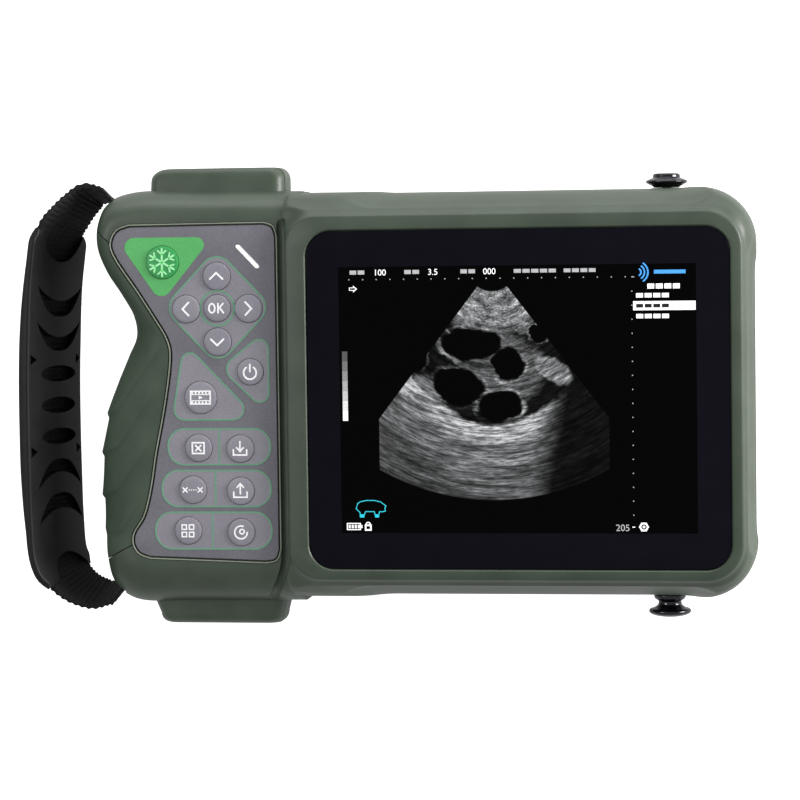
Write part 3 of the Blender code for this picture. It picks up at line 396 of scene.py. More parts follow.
def ribbon(points, width):
    """Outline of a stroke of even width along an open line, with round ends."""
    points = [Vector(point) for point in points]
    left, right = [], []
    for i, point in enumerate(points):
        before = (point - points[i - 1]).normalized() if i else None
        after = (points[i + 1] - point).normalized() if i < len(points) - 1 else None
        along = ((before or after) + (after or before)).normalized()
        side = Vector((-along.y, along.x))
        stretch = 1.0 / max(along.dot(before or after), 0.5)
        left.append(point + side * width / 2 * stretch)
        right.append(point - side * width / 2 * stretch)
    first = (points[1] - points[0]).normalized()
    last = (points[-1] - points[-2]).normalized()
    start = math.degrees(math.atan2(first.y, first.x))
    end = math.degrees(math.atan2(last.y, last.x))
    return (right + arc(points[-1], width / 2, end - 90, end + 90, STROKE_END_STEPS)[1:-1]
            + left[::-1] + arc(points[0], width / 2, start + 90, start + 270, STROKE_END_STEPS)[1:-1])


def smooth_step(value):
    value = min(max(value, 0.0), 1.0)
    return value * value * (3.0 - 2.0 * value)


# ---------------------------------------------------------------- solids

def add(name, mesh, material):
    item = bpy.data.objects.new(name, mesh)
    item.location = ORIGIN
    bpy.context.scene.collection.objects.link(item)
    if material:
        mesh.materials.clear()
        mesh.materials.append(material)
    return item


def mesh_from(shape, name):
    mesh = bpy.data.meshes.new(name)
    shape.to_mesh(mesh)
    shape.free()
    return mesh


def evaluated(item):
    bpy.context.view_layer.update()
    graph = bpy.context.evaluated_depsgraph_get()
    return bpy.data.meshes.new_from_object(item.evaluated_get(graph))


def filled(curve, offset):
    """Bmesh of a filled curve with its seams welded, moved by an offset in millimetres."""
    item = bpy.data.objects.new(curve.name, curve)
    bpy.context.scene.collection.objects.link(item)
    mesh = evaluated(item)
    bpy.data.objects.remove(item, do_unlink=True)
    shape = bmesh.new()
    shape.from_mesh(mesh)
    bmesh.ops.remove_doubles(shape, verts=shape.verts, dist=WELD_DISTANCE * MM)
    bmesh.ops.translate(shape, verts=shape.verts, vec=Vector(offset) * MM)
    return shape


def slab(name, outlines, z_range, material=None, edge=0.0):
    """Flat plate from an outline; further outlines are holes. edge rounds its rims."""
    curve = bpy.data.curves.new(name, "CURVE")
    curve.dimensions = "2D"
    curve.fill_mode = "BOTH"
    curve.extrude = ((z_range[1] - z_range[0]) / 2 - edge) * MM
    curve.bevel_depth = edge * MM
    curve.bevel_resolution = RIM_STEPS
    curve.offset = -edge * MM
    for outline in outlines:
        path = curve.splines.new("POLY")
        path.points.add(len(outline) - 1)
        for point, spot in zip(path.points, outline):
            point.co = (spot[0] * MM, spot[1] * MM, 0.0, 1.0)
        path.use_cyclic_u = True
    shape = filled(curve, (0.0, 0.0, sum(z_range) / 2))
    bmesh.ops.recalc_face_normals(shape, faces=shape.faces)
    return add(name, mesh_from(shape, name), material)


def loft(name, rings, material=None, triangles=True):
    """Solid through rings of equal point counts, capped at both ends."""
    shape = bmesh.new()
    loops = [[shape.verts.new(Vector(point) * MM) for point in ring] for ring in rings]
    for low, high in zip(loops, loops[1:]):
        for i in range(len(low)):
            j = (i + 1) % len(low)
            shape.faces.new((low[i], low[j], high[j], high[i]))
    shape.faces.new(loops[0][::-1])
    shape.faces.new(loops[-1])
    bmesh.ops.recalc_face_normals(shape, faces=shape.faces)
    if triangles:
        bmesh.ops.triangulate(shape, faces=shape.faces)
    return add(name, mesh_from(shape, name), material)


def turned(name, profile, location, material=None, axis="Z", sides=48):
    """Solid of revolution; the profile lists (radius, height) from the top down, closed on the axis."""
    shape = bmesh.new()
    loops = []
    for radius, height in profile:
        if radius < 1e-6:
            loops.append([shape.verts.new((0.0, 0.0, height * MM))])
        else:
            spots = arc((0.0, 0.0), radius, 0.0, 360.0 * (sides - 1) / sides, sides - 1)
            loops.append([shape.verts.new((p.x * MM, p.y * MM, height * MM)) for p in spots])
    for high, low in zip(loops, loops[1:]):
        for i in range(sides):
            j = (i + 1) % sides
            corners = [low[i % len(low)], low[j % len(low)], high[j % len(high)], high[i % len(high)]]
            unique = list(dict.fromkeys(corners))
            if len(unique) > 2:
                shape.faces.new(unique)
    bmesh.ops.recalc_face_normals(shape, faces=shape.faces)
    mesh = mesh_from(shape, name)
    mesh.transform(Matrix.Translation(Vector(location) * MM) @ Matrix.Rotation(*TURNS[axis]))
    return add(name, mesh, material)


def rounded(profile, radius):
    """Profile with each corner that isn't on the axis rounded."""
    result = [Vector(profile[0])]
    for before, corner, after in zip(profile, profile[1:], profile[2:]):
        corner = Vector(corner)
        back, ahead = Vector(before) - corner, Vector(after) - corner
        reach = min(radius, back.length * 0.45, ahead.length * 0.45)
        start, end = corner + back.normalized() * reach, corner + ahead.normalized() * reach
        for i in range(RIM_STEPS + 1):
            t = i / RIM_STEPS
            result.append(start * (1 - t) ** 2 + corner * 2 * t * (1 - t) + end * t * t)
    result.append(Vector(profile[-1]))
    return [(point.x, point.y) for point in result]


def cylinder(name, radius, low, high, location, axis="Z", sides=32, far_radius=None):
    """Round bar between two places on its axis; far_radius makes it a cone."""
    far = radius if far_radius is None else far_radius
    return turned(name, [(0.0, high), (far, high), (radius, low), (0.0, low)], location, None, axis, sides)


def block(name, low, high, material=None, edge=0.0, segments=3):
    shape = bmesh.new()
    bmesh.ops.create_cube(shape, size=1.0)
    size = [b - a for a, b in zip(low, high)]
    middle = [(a + b) / 2 for a, b in zip(low, high)]
    for vertex in shape.verts:
        vertex.co = Vector([(c * s + m) * MM for c, s, m in zip(vertex.co, size, middle)])
    if edge:
        bmesh.ops.bevel(shape, geom=shape.edges[:], offset=edge * MM, segments=segments, profile=0.5,
                        affect="EDGES")
    return add(name, mesh_from(shape, name), material)


def joined(name, items, material=None):
    """One object from several, which are removed."""
    shape = bmesh.new()
    for item in items:
        mesh = item.data
        mesh.transform(Matrix.Translation(item.location - ORIGIN))
        shape.from_mesh(mesh)
        bpy.data.objects.remove(item, do_unlink=True)
    return add(name, mesh_from(shape, name), material)


def combine(target, operation, *others):
    for other in others:
        step = target.modifiers.new(operation.lower(), "BOOLEAN")
        step.operation = operation
        step.object = other


def settle(item, *cutters):
    """Apply an object's modifiers and remove the cutters that it no longer needs."""
    mesh = evaluated(item)
    item.modifiers.clear()
    item.data = mesh
    for cutter in cutters:
        bpy.data.objects.remove(cutter, do_unlink=True)
    return item


def smooth(item, angle=32.0):
    item.data.shade_smooth()
    item.data.set_sharp_from_angle(angle=math.radians(angle))
    return item


# ---------------------------------------------------------------- materials

class Nodes:
    """A material's node tree, with short calls for the nodes that the materials share."""

    def __init__(self, name):
        self.material = bpy.data.materials.new(name)
        self.material.use_nodes = True
        self.tree = self.material.node_tree
        self.shader = self.tree.nodes["Principled BSDF"]
        self.place = self.add("ShaderNodeTexCoord").outputs["Object"]

    def add(self, kind, **settings):
        node = self.tree.nodes.new(kind)
        for key, value in settings.items():
            setattr(node, key, value)
        return node

    def feed(self, socket, value):
        if isinstance(value, bpy.types.NodeSocket):
            self.tree.links.new(value, socket)
        else:
            socket.default_value = value

    def split(self, vector):
        node = self.add("ShaderNodeSeparateXYZ")
        self.feed(node.inputs[0], vector)
        return tuple(node.outputs)

    def math(self, operation, first, *others):
        """An operation on one value, or on several from left to right."""
        for other in others or (0.0,):
            node = self.add("ShaderNodeMath", operation=operation)
            self.feed(node.inputs[0], first)
            self.feed(node.inputs[1], other)
            first = node.outputs[0]
        return first

    def times(self, *values):
        return self.math("MULTIPLY", *values)

    def plus(self, *values):
        return self.math("ADD", *values)

    def minus(self, first, second):
        return self.math("SUBTRACT", first, second)

    def length(self, a, b):
        return self.math("SQRT", self.plus(self.times(a, a), self.times(b, b)))

    def noise(self, size, detail, place=None, rough=0.5, stretch=(1.0, 1.0, 1.0)):
        """Noise whose features are about size millimetres across."""
        scaled = self.add("ShaderNodeVectorMath", operation="MULTIPLY")
        self.feed(scaled.inputs[0], place or self.place)
        scaled.inputs[1].default_value = [s / (size * MM) for s in stretch]
        node = self.add("ShaderNodeTexNoise")
        self.feed(node.inputs["Vector"], scaled.outputs[0])
        node.inputs["Scale"].default_value = 1.0
        node.inputs["Detail"].default_value = detail
        node.inputs["Roughness"].default_value = rough
        return node.outputs["Fac"]

    def ramp(self, value, low, high, out_low=0.0, out_high=1.0):
        """Smooth step of a value between two levels."""
        node = self.add("ShaderNodeMapRange", interpolation_type="SMOOTHSTEP")
        sockets = ("Value", "From Min", "From Max", "To Min", "To Max")
        for socket, setting in zip(sockets, (value, low, high, out_low, out_high)):
            self.feed(node.inputs[socket], setting)
        return node.outputs["Result"]

    def mix(self, share, first, second):
        node = self.add("ShaderNodeMix", data_type="RGBA")
        self.feed(node.inputs["Factor"], share)
        self.feed(node.inputs["A"], first)
        self.feed(node.inputs["B"], second)
        return node.outputs["Result"]

    def bump(self, height, depth, strength=1.0):
        """Bump of the given depth in millimetres over the height's full range."""
        node = self.add("ShaderNodeBump")
        node.inputs["Strength"].default_value = strength
        node.inputs["Distance"].default_value = depth * MM
        self.feed(node.inputs["Height"], height)
        self.feed(self.shader.inputs["Normal"], node.outputs["Normal"])

    def set(self, **values):
        for key, value in values.items():
            self.feed(self.shader.inputs[key.replace("_", " ")], value)


def colour(red, green, blue):
    """Linear colour from 0-255 display values."""
    def linear(value):
        value /= 255
        return value / 12.92 if value <= 0.04045 else ((value + 0.055) / 1.055) ** 2.4
    return (linear(red), linear(green), linear(blue), 1.0)


def moulded(name, light, dark, roughness, grain, depth, patch=18.0, specular=0.5):
    """Moulded plastic or rubber: fine grain in relief, and soft variation in colour and gloss."""
    nodes = Nodes(name)
    cloud = nodes.noise(patch, 3.0)
    fine = nodes.noise(grain, 2.0)
    scuff = nodes.plus(nodes.times(cloud, 0.10), nodes.times(fine, 0.10))
    nodes.set(Base_Color=nodes.mix(nodes.ramp(cloud, 0.3, 0.7), dark, light))
    nodes.set(Roughness=nodes.plus(scuff, roughness - 0.10), Specular_IOR_Level=specular)
    nodes.bump(fine, depth)
    return nodes.material


def film(name, light, dark, roughness=0.5):
    """Printed membrane film with a fine speckle."""
    nodes = Nodes(name)
    speckle = nodes.noise(0.45, 3.0, rough=0.7)
    cloud = nodes.noise(14.0, 2.0)
    shade = nodes.plus(nodes.times(speckle, 0.7), nodes.times(cloud, 0.3))
    nodes.set(Base_Color=nodes.mix(nodes.ramp(shade, 0.35, 0.65), dark, light))
    nodes.set(Roughness=nodes.plus(nodes.times(speckle, 0.14), roughness - 0.07))
    nodes.bump(speckle, 0.02, 0.6)
    return nodes.material


def deeper(tint, share):
    return (*(c * share for c in tint[:3]), 1.0)


def ink(name, tint, glow=0.0):
    """Printed or lit mark, with the slight unevenness of ink. glow makes a mark emit light: real on the screen and
    the light pipe, a painted glow on the printed key legends.
    """
    nodes = Nodes(name)
    uneven = nodes.ramp(nodes.noise(0.6, 2.0), 0.35, 0.6)
    tone = nodes.mix(uneven, deeper(tint, 0.86), tint)
    nodes.set(Base_Color=tone, Roughness=0.45)
    if glow:
        nodes.set(Emission_Color=tone, Emission_Strength=glow)
    return nodes.material


def metal(name, tint, roughness, stretch=(1.0, 1.0, 1.0)):
    """Turned or drawn metal with fine scratches along its making direction."""
    nodes = Nodes(name)
    lines = nodes.noise(0.5, 4.0, stretch=stretch)
    worn = nodes.ramp(nodes.noise(6.0, 3.0), 0.35, 0.65)
    nodes.set(Base_Color=nodes.mix(worn, deeper(tint, 0.8), tint), Metallic=1.0)
    nodes.set(Roughness=nodes.plus(nodes.times(lines, 0.18), roughness - 0.09))
    nodes.bump(lines, 0.01, 0.5)
    return nodes.material


def circuit_board():
    """Solder mask over a hatch of copper tracks."""
    nodes = Nodes("circuit_board")
    tracks = nodes.math("SINE", nodes.times(nodes.split(nodes.place)[0], 3500.0))
    cells = nodes.add("ShaderNodeTexVoronoi", distance="CHEBYCHEV")
    cells.inputs["Scale"].default_value = 140.0
    nodes.feed(cells.inputs["Vector"], nodes.place)
    copper = nodes.times(nodes.ramp(tracks, 0.5, 0.7), nodes.ramp(cells.outputs["Distance"], 0.3, 0.4))
    nodes.set(Base_Color=nodes.mix(copper, colour(18, 82, 48), colour(58, 120, 66)), Roughness=0.35)
    nodes.bump(copper, 0.03)
    return nodes.material


def battery_wrap():
    """Shrink film with faint wrinkles."""
    nodes = Nodes("battery_wrap")
    wrinkle = nodes.noise(5.0, 4.0, stretch=(1.0, 0.25, 1.0))
    nodes.set(Base_Color=nodes.mix(wrinkle, colour(20, 21, 26), colour(44, 46, 54)))
    nodes.set(Roughness=nodes.ramp(wrinkle, 0.3, 0.7, 0.22, 0.42))
    nodes.bump(wrinkle, 0.25, 0.5)
    return nodes.material


def woven():
    """Black nylon yarns of the webbing, crossing over and under. Painted shade: the weave's low places are
    coloured near black, which darkens its hollows against lighter yarn tops, and the webbing is coloured blacker
    inside the pad, where the pad's slots shade it.
    """
    row_pitch, yarn_pitch = 1.3, 1.1
    pad_end, pad_clear = 48.0, 54.0
    nodes = Nodes("webbing_weave_painted_shade")
    x, y, z = nodes.split(nodes.place)
    rows = nodes.math("SINE", nodes.times(z, 2 * math.pi / (row_pitch * MM)))
    yarns = nodes.math("SINE", nodes.times(nodes.minus(y, x), 2 * math.pi / (yarn_pitch * MM)))
    fibre = nodes.noise(0.25, 3.0)
    height = nodes.plus(nodes.times(rows, yarns), nodes.times(fibre, 1.2))
    # painted shade: webbing within the pad's length is coloured much darker, for the shade inside the pad's slots
    unshaded_by_pad = nodes.ramp(nodes.math("ABSOLUTE", y), pad_end * MM, pad_clear * MM)
    yarn_with_pad_shade = nodes.mix(unshaded_by_pad, colour(4, 4, 4), colour(32, 32, 31))
    # painted shade and highlight: low places of the weave go near black and the yarn tops lighter, as if lit
    nodes.set(Base_Color=nodes.mix(nodes.ramp(height, -0.4, 1.6), colour(1, 1, 1), yarn_with_pad_shade))
    nodes.set(Roughness=nodes.ramp(fibre, 0.3, 0.7, 0.55, 0.8), Specular_IOR_Level=0.25)
    nodes.bump(height, 0.09)
    return nodes.material


def oval(nodes, place, patch):
    """Distance from the middle of a tilted oval, as a share of its size: 1 on its edge."""
    centre_x, centre_y, half_x, half_y, tilt = patch
    turn = math.radians(tilt)
    dx, dy = nodes.minus(place[0], centre_x), nodes.minus(place[1], centre_y)
    along = nodes.plus(nodes.times(dx, math.cos(turn) / half_x), nodes.times(dy, math.sin(turn) / half_x))
    aside = nodes.minus(nodes.times(dy, math.cos(turn) / half_y), nodes.times(dx, math.sin(turn) / half_y))
    return nodes.length(along, aside)


def scan_glass():
    """Navy-black cover glass over a lit display that shows a sector scan.

    The scan is a fan of speckle. Tissue fills its near field and lies below a curved back wall; hollows are
    dark ovals with a bright wall. Lengths are in millimetres in the frame of the body's middle.
    """
    nodes = Nodes("display_glass")
    ramp, times, plus, minus = nodes.ramp, nodes.times, nodes.plus, nodes.minus
    scaled = nodes.add("ShaderNodeVectorMath", operation="SCALE")
    nodes.feed(scaled.inputs[0], nodes.place)
    scaled.inputs["Scale"].default_value = 1.0 / MM
    x, y, _ = nodes.split(scaled.outputs[0])
    across, depth = minus(x, SCAN_APEX[0]), minus(SCAN_APEX[1], y)
    reach = nodes.length(across, depth)
    angle = nodes.math("ARCTAN2", across, depth)

    beam = nodes.add("ShaderNodeCombineXYZ")
    nodes.feed(beam.inputs["X"], times(angle, SCAN_BEAM_SPREAD * MM))
    nodes.feed(beam.inputs["Y"], times(reach, MM))
    speckle = nodes.noise(0.8, 3.0, beam.outputs[0], 0.7, (0.5, 1.5, 1.0))
    streak = nodes.noise(2.6, 3.0, beam.outputs[0], 0.6, (0.35, 1.6, 1.0))
    tissue = nodes.noise(7.0, 3.0, beam.outputs[0], 0.6, (0.6, 1.2, 1.0))

    def wavy(size, stretch=(1.0, 1.0, 1.0)):
        return times(minus(nodes.noise(size, 2.0, stretch=stretch), 0.5), SCAN_SHAKE)

    # Layers close to the probe, then the curved wall that fades downwards and towards the right
    shaken = (plus(x, wavy(5.0)), plus(y, wavy(5.0, (1.0, -1.3, 1.0))))
    bands = nodes.math("SINE", times(plus(reach, wavy(9.0)), 1.5))
    near_field = times(ramp(reach, 18.5, 24.0, 0.66, 0.0), ramp(bands, -1.0, 1.0, 0.75, 1.1))
    from_middle = minus(shaken[0], SCAN_WALL[0])
    bowl = plus(times(from_middle, from_middle, SCAN_WALL[2]), SCAN_WALL[1])
    below = minus(bowl, shaken[1])
    rightwards = plus(shaken[0], times(below, 0.15))
    wall_light = times(
        ramp(below, -0.5, 1.6), ramp(below, 2.5, 9.0, 1.0, 0.56), ramp(below, 9.0, 33.0, 1.0, 0.50),
        ramp(rightwards, 38.0, 50.0, 1.0, 0.05), 0.92,
    )
    level = nodes.math("MAXIMUM", near_field, wall_light)
    for patch, brightness in SCAN_TISSUE:
        level = nodes.math("MAXIMUM", level, ramp(oval(nodes, shaken, patch), 0.75, 1.1, brightness, 0.0))
    level = nodes.math("MAXIMUM", level, SCAN_DARKEST)

    # Hollows, each with a bright rim, then their insides darkened again where rims overlap
    for patch in SCAN_HOLLOWS:
        edge = oval(nodes, shaken, patch)
        level = times(level, ramp(edge, 0.88, 1.04, 0.03, 1.0))
        rim = times(
            ramp(edge, 0.96, 1.08), ramp(edge, 1.10, 1.32, 1.0, 0.0), ramp(tissue, 0.40, 0.60, 0.12, 0.62),
        )
        level = nodes.math("MAXIMUM", level, rim)
    for patch in SCAN_HOLLOWS:
        level = times(level, ramp(oval(nodes, shaken, patch), 0.84, 0.98, 0.02, 1.0))

    grain = times(
        ramp(speckle, 0.30, 0.72, 0.45, 1.25), ramp(streak, 0.30, 0.68, 0.45, 1.3),
        ramp(tissue, 0.3, 0.7, 0.75, 1.15),
    )
    fan = times(
        ramp(reach, SCAN_REACH[0], SCAN_REACH[0] + 0.4),
        ramp(reach, SCAN_REACH[1] - 0.4, SCAN_REACH[1], 1.0, 0.0),
        ramp(nodes.math("ABSOLUTE", angle), SCAN_HALF_ANGLE - 0.006, SCAN_HALF_ANGLE, 1.0, 0.0),
        ramp(nodes.math("ABSOLUTE", across), SCAN_CLIP - 0.3, SCAN_CLIP, 1.0, 0.0),
    )
    shown_level = nodes.math("MAXIMUM", times(level, grain), 0.0)
    picture = times(nodes.math("POWER", shown_level, SCAN_CONTRAST), fan)

    def within(value, middle, size):
        away = nodes.math("ABSOLUTE", minus(value, middle))
        return ramp(away, size / 2 - 0.15, size / 2 + 0.15, 1.0, 0.0)

    lit = times(within(x, WINDOW_CENTRE.x, LIT_SIZE[0]), within(y, WINDOW_CENTRE.y, LIT_SIZE[1]))
    dust = nodes.noise(9.0, 4.0)
    border = nodes.mix(dust, colour(14, 13, 21), colour(19, 18, 27))
    nodes.set(Base_Color=nodes.mix(lit, border, colour(1, 1, 1)))
    nodes.set(Emission_Color=nodes.mix(picture, (0.0, 0.0, 0.0, 1.0), colour(236, 238, 240)))
    nodes.set(Emission_Strength=1.0, Roughness=ramp(dust, 0.3, 0.8, 0.07, 0.13), Specular_IOR_Level=0.06)
    return nodes.material


GREEN = moulded("housing_green", colour(68, 81, 67), colour(58, 71, 57), 0.44, 0.42, 0.035)
# Light green for the raised ring round the keypad face: a painted highlight that stands for light caught on the
# recess's chamfer.
RIM_HIGHLIGHT_GREEN = moulded("rim_painted_highlight", colour(146, 152, 138), colour(132, 140, 124), 0.42, 0.42, 0.02)
GRIP_GREEN = moulded("grip_green", colour(72, 87, 72), colour(60, 75, 60), 0.62, 0.30, 0.045, specular=0.4)
RUBBER = moulded("rubber_black", colour(40, 40, 40), colour(30, 30, 30), 0.58, 0.30, 0.04, specular=0.45)
SOFT_BLACK = moulded("pad_rubber", colour(21, 21, 22), colour(14, 14, 15), 0.48, 0.22, 0.03, 10.0, specular=0.27)
DARK_PLASTIC = moulded("dark_plastic", colour(24, 24, 26), colour(16, 16, 18), 0.45, 0.3, 0.02)
PANEL = film("keypad_film", colour(124, 122, 131), colour(107, 106, 115))
ZONE = film("zone_film", colour(152, 149, 159), colour(136, 134, 144))
CAP = film("key_cap", colour(152, 150, 160), colour(137, 135, 146), 0.46)
FREEZE = film("freeze_film", colour(98, 196, 112), colour(86, 184, 100))
FREEZE_CAP = film("freeze_cap", colour(66, 174, 94), colour(52, 160, 84), 0.46)
OUTLINE = ink("outline_green", colour(112, 172, 138))
# Key legends are printed, yet given a glow: a painted glow that makes them brighter than the lamps light them.
GLOWING_WHITE_INK = ink("legend_white_painted_glow", colour(244, 244, 246), 0.25)
GLOWING_ICE_INK = ink("legend_ice_painted_glow", colour(176, 255, 190), 0.12)
LIGHT = ink("light_pipe", colour(255, 255, 255), 0.6)
SCREEN_WHITE = ink("screen_white", colour(238, 240, 240), 0.85)
SCREEN_GREY = ink("screen_grey", colour(168, 170, 172), 0.6)
SCREEN_CYAN = ink("screen_cyan", colour(40, 190, 205), 0.7)
STEEL = metal("steel", colour(178, 178, 182), 0.32, (1.0, 0.1, 1.0))
BLACK_METAL = metal("stud_black", colour(72, 72, 76), 0.17)
BOARD = circuit_board()
BATTERY = battery_wrap()
GLASS = scan_glass()
SCREEN_BLUE = ink("screen_blue", colour(66, 150, 226), 0.7)
WEBBING_PAINTED_SHADE = woven()

SLOT_MATERIALS = {
    "housing_green": GREEN, "rubber_black": RUBBER, "grip_green": GRIP_GREEN, "keypad_grey": PANEL,
    "key_lavender": CAP, "key_green": FREEZE_CAP, "light_white": LIGHT, "steel": STEEL,
    "board_green": BOARD, "battery_black": BATTERY, "webbing_black": WEBBING_PAINTED_SHADE, "stud_black": BLACK_METAL,
    "lcd_black": DARK_PLASTIC, "window_glass": DARK_PLASTIC,
}


def repaint_frame():
    """Give every carried-over CAD node the detailed material of its slot."""
    slots = {row["node"]: row["material_slot"] for row in frame["record"]["subparts"]}
    for name, node in frame["nodes"].items():
        node.data.materials.clear()
        node.data.materials.append(SLOT_MATERIALS[slots[name]])


# ---------------------------------------------------------------- outer form of the body

def finger_step(x, y):
    """Height of the rubber cover's overlapping steps at a place in plan."""
    run = 1.35 * (x + 94.0) if x > -101.0 else -9.45 + 0.4 * (x + 101.0)
    place = y - run
    for high, low in FINGER_STEPS:
        if low <= place < high:
            rise = (high - place) / (high - low)
            return STEP_HEIGHT * rise * rise * smooth_step((place - low) / 1.8)
    return 0.0


def grip_ring(share, inset, z, steps, stepped, drop):
    """Grip outline between the edge of its flat face (share 0) and its silhouette (share 1)."""
    face = spline([pair[0] for pair in GRIP_PAIRS], steps)
    rim = spline([pair[1] for pair in GRIP_PAIRS], steps)
    line = [a.lerp(b, share) for a, b in zip(face, rim)]
    if inset:
        line = grow(line, -inset)
        line[0] = Vector((JOIN_X, line[1].y))
        line[-1] = Vector((JOIN_X, line[-2].y))
    if not stepped:
        return [(point.x, point.y, z) for point in line]
    moved = []
    outward = [b - a for a, b in zip(line, grow(line, 1.0))]
    for a, point, normal in zip(face, line, outward):
        fade = smooth_step(((point - a).length - 1.2) / STEP_FADE)
        fade *= smooth_step((point.y - STEP_Y[0]) / STEP_END_FADE)
        fade *= smooth_step((STEP_Y[1] - point.y) / STEP_END_FADE)
        rise = finger_step(point.x, point.y) * fade
        flat = point + normal * rise * math.sin(drop)
        moved.append((flat.x, flat.y, z + rise * math.cos(drop)))
    return moved


def grip_form(name, inset=0.0, face_inset=None, rear_inset=None, steps=8, stepped=False):
    """The grip as one solid; an inset form is the same shape, coarser, with everything moved inwards."""
    top = GRIP_FACE_Z - (inset if face_inset is None else face_inset)
    bottom = REAR_Z + (inset if rear_inset is None else rear_inset)
    fine = 2 if stepped else 18 if inset else 6
    rings = []
    for drop in map(math.radians, range(0, 78, fine)):
        share = REAR_SHARE + (1.0 - REAR_SHARE) * math.sin(drop)
        rings.append(grip_ring(share, inset, bottom + REAR_ROLL * (1 - math.cos(drop)), steps, stepped, drop))
    for drop in map(math.radians, range(84, -1, -fine)):
        z = top - GRIP_ROLL * (1 - math.cos(drop))
        rings.append(grip_ring(math.sin(drop), inset, z, steps, stepped, drop))
    return loft(name, rings)


def block_levels(steps):
    """The block's profile rows, made finer along a smooth curve."""
    return spline([Vector(row) for row in BLOCK_LEVELS], steps)


def block_sides(share, narrow):
    sides = [a + (b - a) * share for a, b in zip(FRAME, BLOCK)]
    return [side - math.copysign(narrow, side) for side in sides]


def block_form(name, inset=0.0, top_z=FRAME_FACE_Z, bottom_z=REAR_Z):
    """The display block as one drafted solid, before its sides are scooped; an inset form is a cavity."""
    scale = (top_z - bottom_z) / (FRAME_FACE_Z - REAR_Z)
    rings = []
    for rise, share, narrow, corner, small, side_dip, end_dip in block_levels(1 if inset else BLOCK_STEPS):
        right, top, bottom = block_sides(share, narrow)
        if inset:
            right, top, bottom = right - inset - end_dip, top - inset - side_dip, bottom + inset + side_dip
            left = BLOCK_LEFT - 1.6 if rise < 31.0 else JOIN_X - 0.4
        else:
            left = BLOCK_LEFT + (FRAME_LEFT - BLOCK_LEFT + narrow) * smooth_step((rise - 32.6) / 1.6)
        corner, small = max(corner - inset, 1.0), max(small - inset, 1.0)
        rounds = [(left + small, top - small, small, 90), (left + small, bottom + small, small, 180),
                  (right - corner, bottom + corner, corner, -90), (right - corner, top - corner, corner, 0)]
        line = []
        for x, y, radius, start in rounds:
            line += arc((x, y), radius, start, start + 90, 5 if inset else 14)
        rings.append([(point.x, point.y, bottom_z + rise * scale) for point in line])
    return loft(name, rings)


def scoop_profile(column, side):
    """Depth line of a scoop: (offset across, z) from the back to its crisp front edge.

    column picks the scoop depth in a profile row, and side picks right, top or bottom.
    """
    line = []
    for row in block_levels(BLOCK_STEPS):
        rise, share, narrow = row[:3]
        if rise > SCOOP_TOP:
            break
        dip = row[column]
        start = 1.2 * (1.0 - smooth_step(rise / 2.5))
        line.append((abs(block_sides(share, narrow)[side]) - dip + start, REAR_Z + rise))
    edge, z = line[-1]
    line.append((edge + SCOOP_STEP + 0.5, z + 0.35))
    return line


def sweep(low, high, run, reach):
    """Stops (place, extra offset) of a scoop between two places whose ends sweep out by reach over a run."""
    shares = [i / 12 for i in range(13)]
    return ([(low - run * share, reach * share ** 2) for share in reversed(shares)]
            + [(high + run * share, reach * share ** 2) for share in shares])


def scoop_cutter(name, column, side, limit, swept):
    """Cutter of a side scoop on the right (side 0), top (1) or bottom (2)."""
    line = scoop_profile(column, side)
    rings = []
    for place, extra in sweep(*swept):
        ring = [(across + extra, z) for across, z in line]
        ring += [(limit, line[-1][1]), (limit, -3.0), (line[0][0] + extra, -3.0)]
        if side == 0:
            rings.append([(across, place, z) for across, z in ring])
        else:
            rings.append([(place, across if side == 1 else -across, z) for across, z in ring])
    return loft(f"scoop_{name}", rings)


def boss_form(name):
    """Thick block that runs behind the grip; its two ends are the bosses, the lower one tapered."""
    def section(y, narrow, tall, drop=0.0):
        left, right = BOSS_X["upper" if y > 0 else "lower"]
        x_range = (left + narrow * 1.3, right - narrow * 0.8)
        z_range = (BOSS_Z[0] + tall, BOSS_Z[1] - tall - drop)
        return [(point.x, y, point.y) for point in box_outline(x_range, z_range, BOSS_CORNER, 8)]

    rings = [section(BOSS_BOTTOM, BOSS_TAPER + 1.4, 4.2)]
    for i in range(1, 7):
        rise, run = math.sin(math.pi / 2 * i / 6), 1 - math.cos(math.pi / 2 * i / 6)
        rings.append(section(BOSS_BOTTOM + 3.4 * run, BOSS_TAPER + 1.0 - 2.2 * rise, 3.4 * (1 - rise) + 0.3))
    rings += [section(y, 0.0, 0.0) for y in (-62.0, 62.0, 66.0)]
    for i in range(9):
        rise, run = math.sin(math.pi / 2 * i / 8), 1 - math.cos(math.pi / 2 * i / 8)
        rings.append(section(BOSS_TOP - 4.0 + 4.0 * rise, 4.0 * run, 1.9 * run, 1.0 + 0.5 * rise))
    return loft(name, rings)


def body_forms():
    """Outer form and cavity, each a union of grip, display block and thick block."""
    outer = block_form("form_outer")
    cuts = [scoop_cutter(name, *SCOOP_SIDES[name]) for name in ("upper", "lower", "end")]
    combine(outer, "DIFFERENCE", *cuts)
    grip, boss = grip_form("form_grip"), boss_form("form_boss")
    combine(outer, "UNION", grip, boss)
    settle(outer, *cuts, grip, boss)
    inner = block_form("form_cavity", WALL, DISPLAY_CEILING, REAR_Z + REAR_WALL)
    grip = grip_form("form_grip_cavity", GRIP_WALL, WALL, REAR_WALL, 2)
    hollow = block("form_boss_cavity", *BOSS_HOLLOW, edge=2.0)
    combine(inner, "UNION", grip, hollow)
    settle(inner, grip, hollow)
    return outer, inner


# ---------------------------------------------------------------- cutters shared by the shells

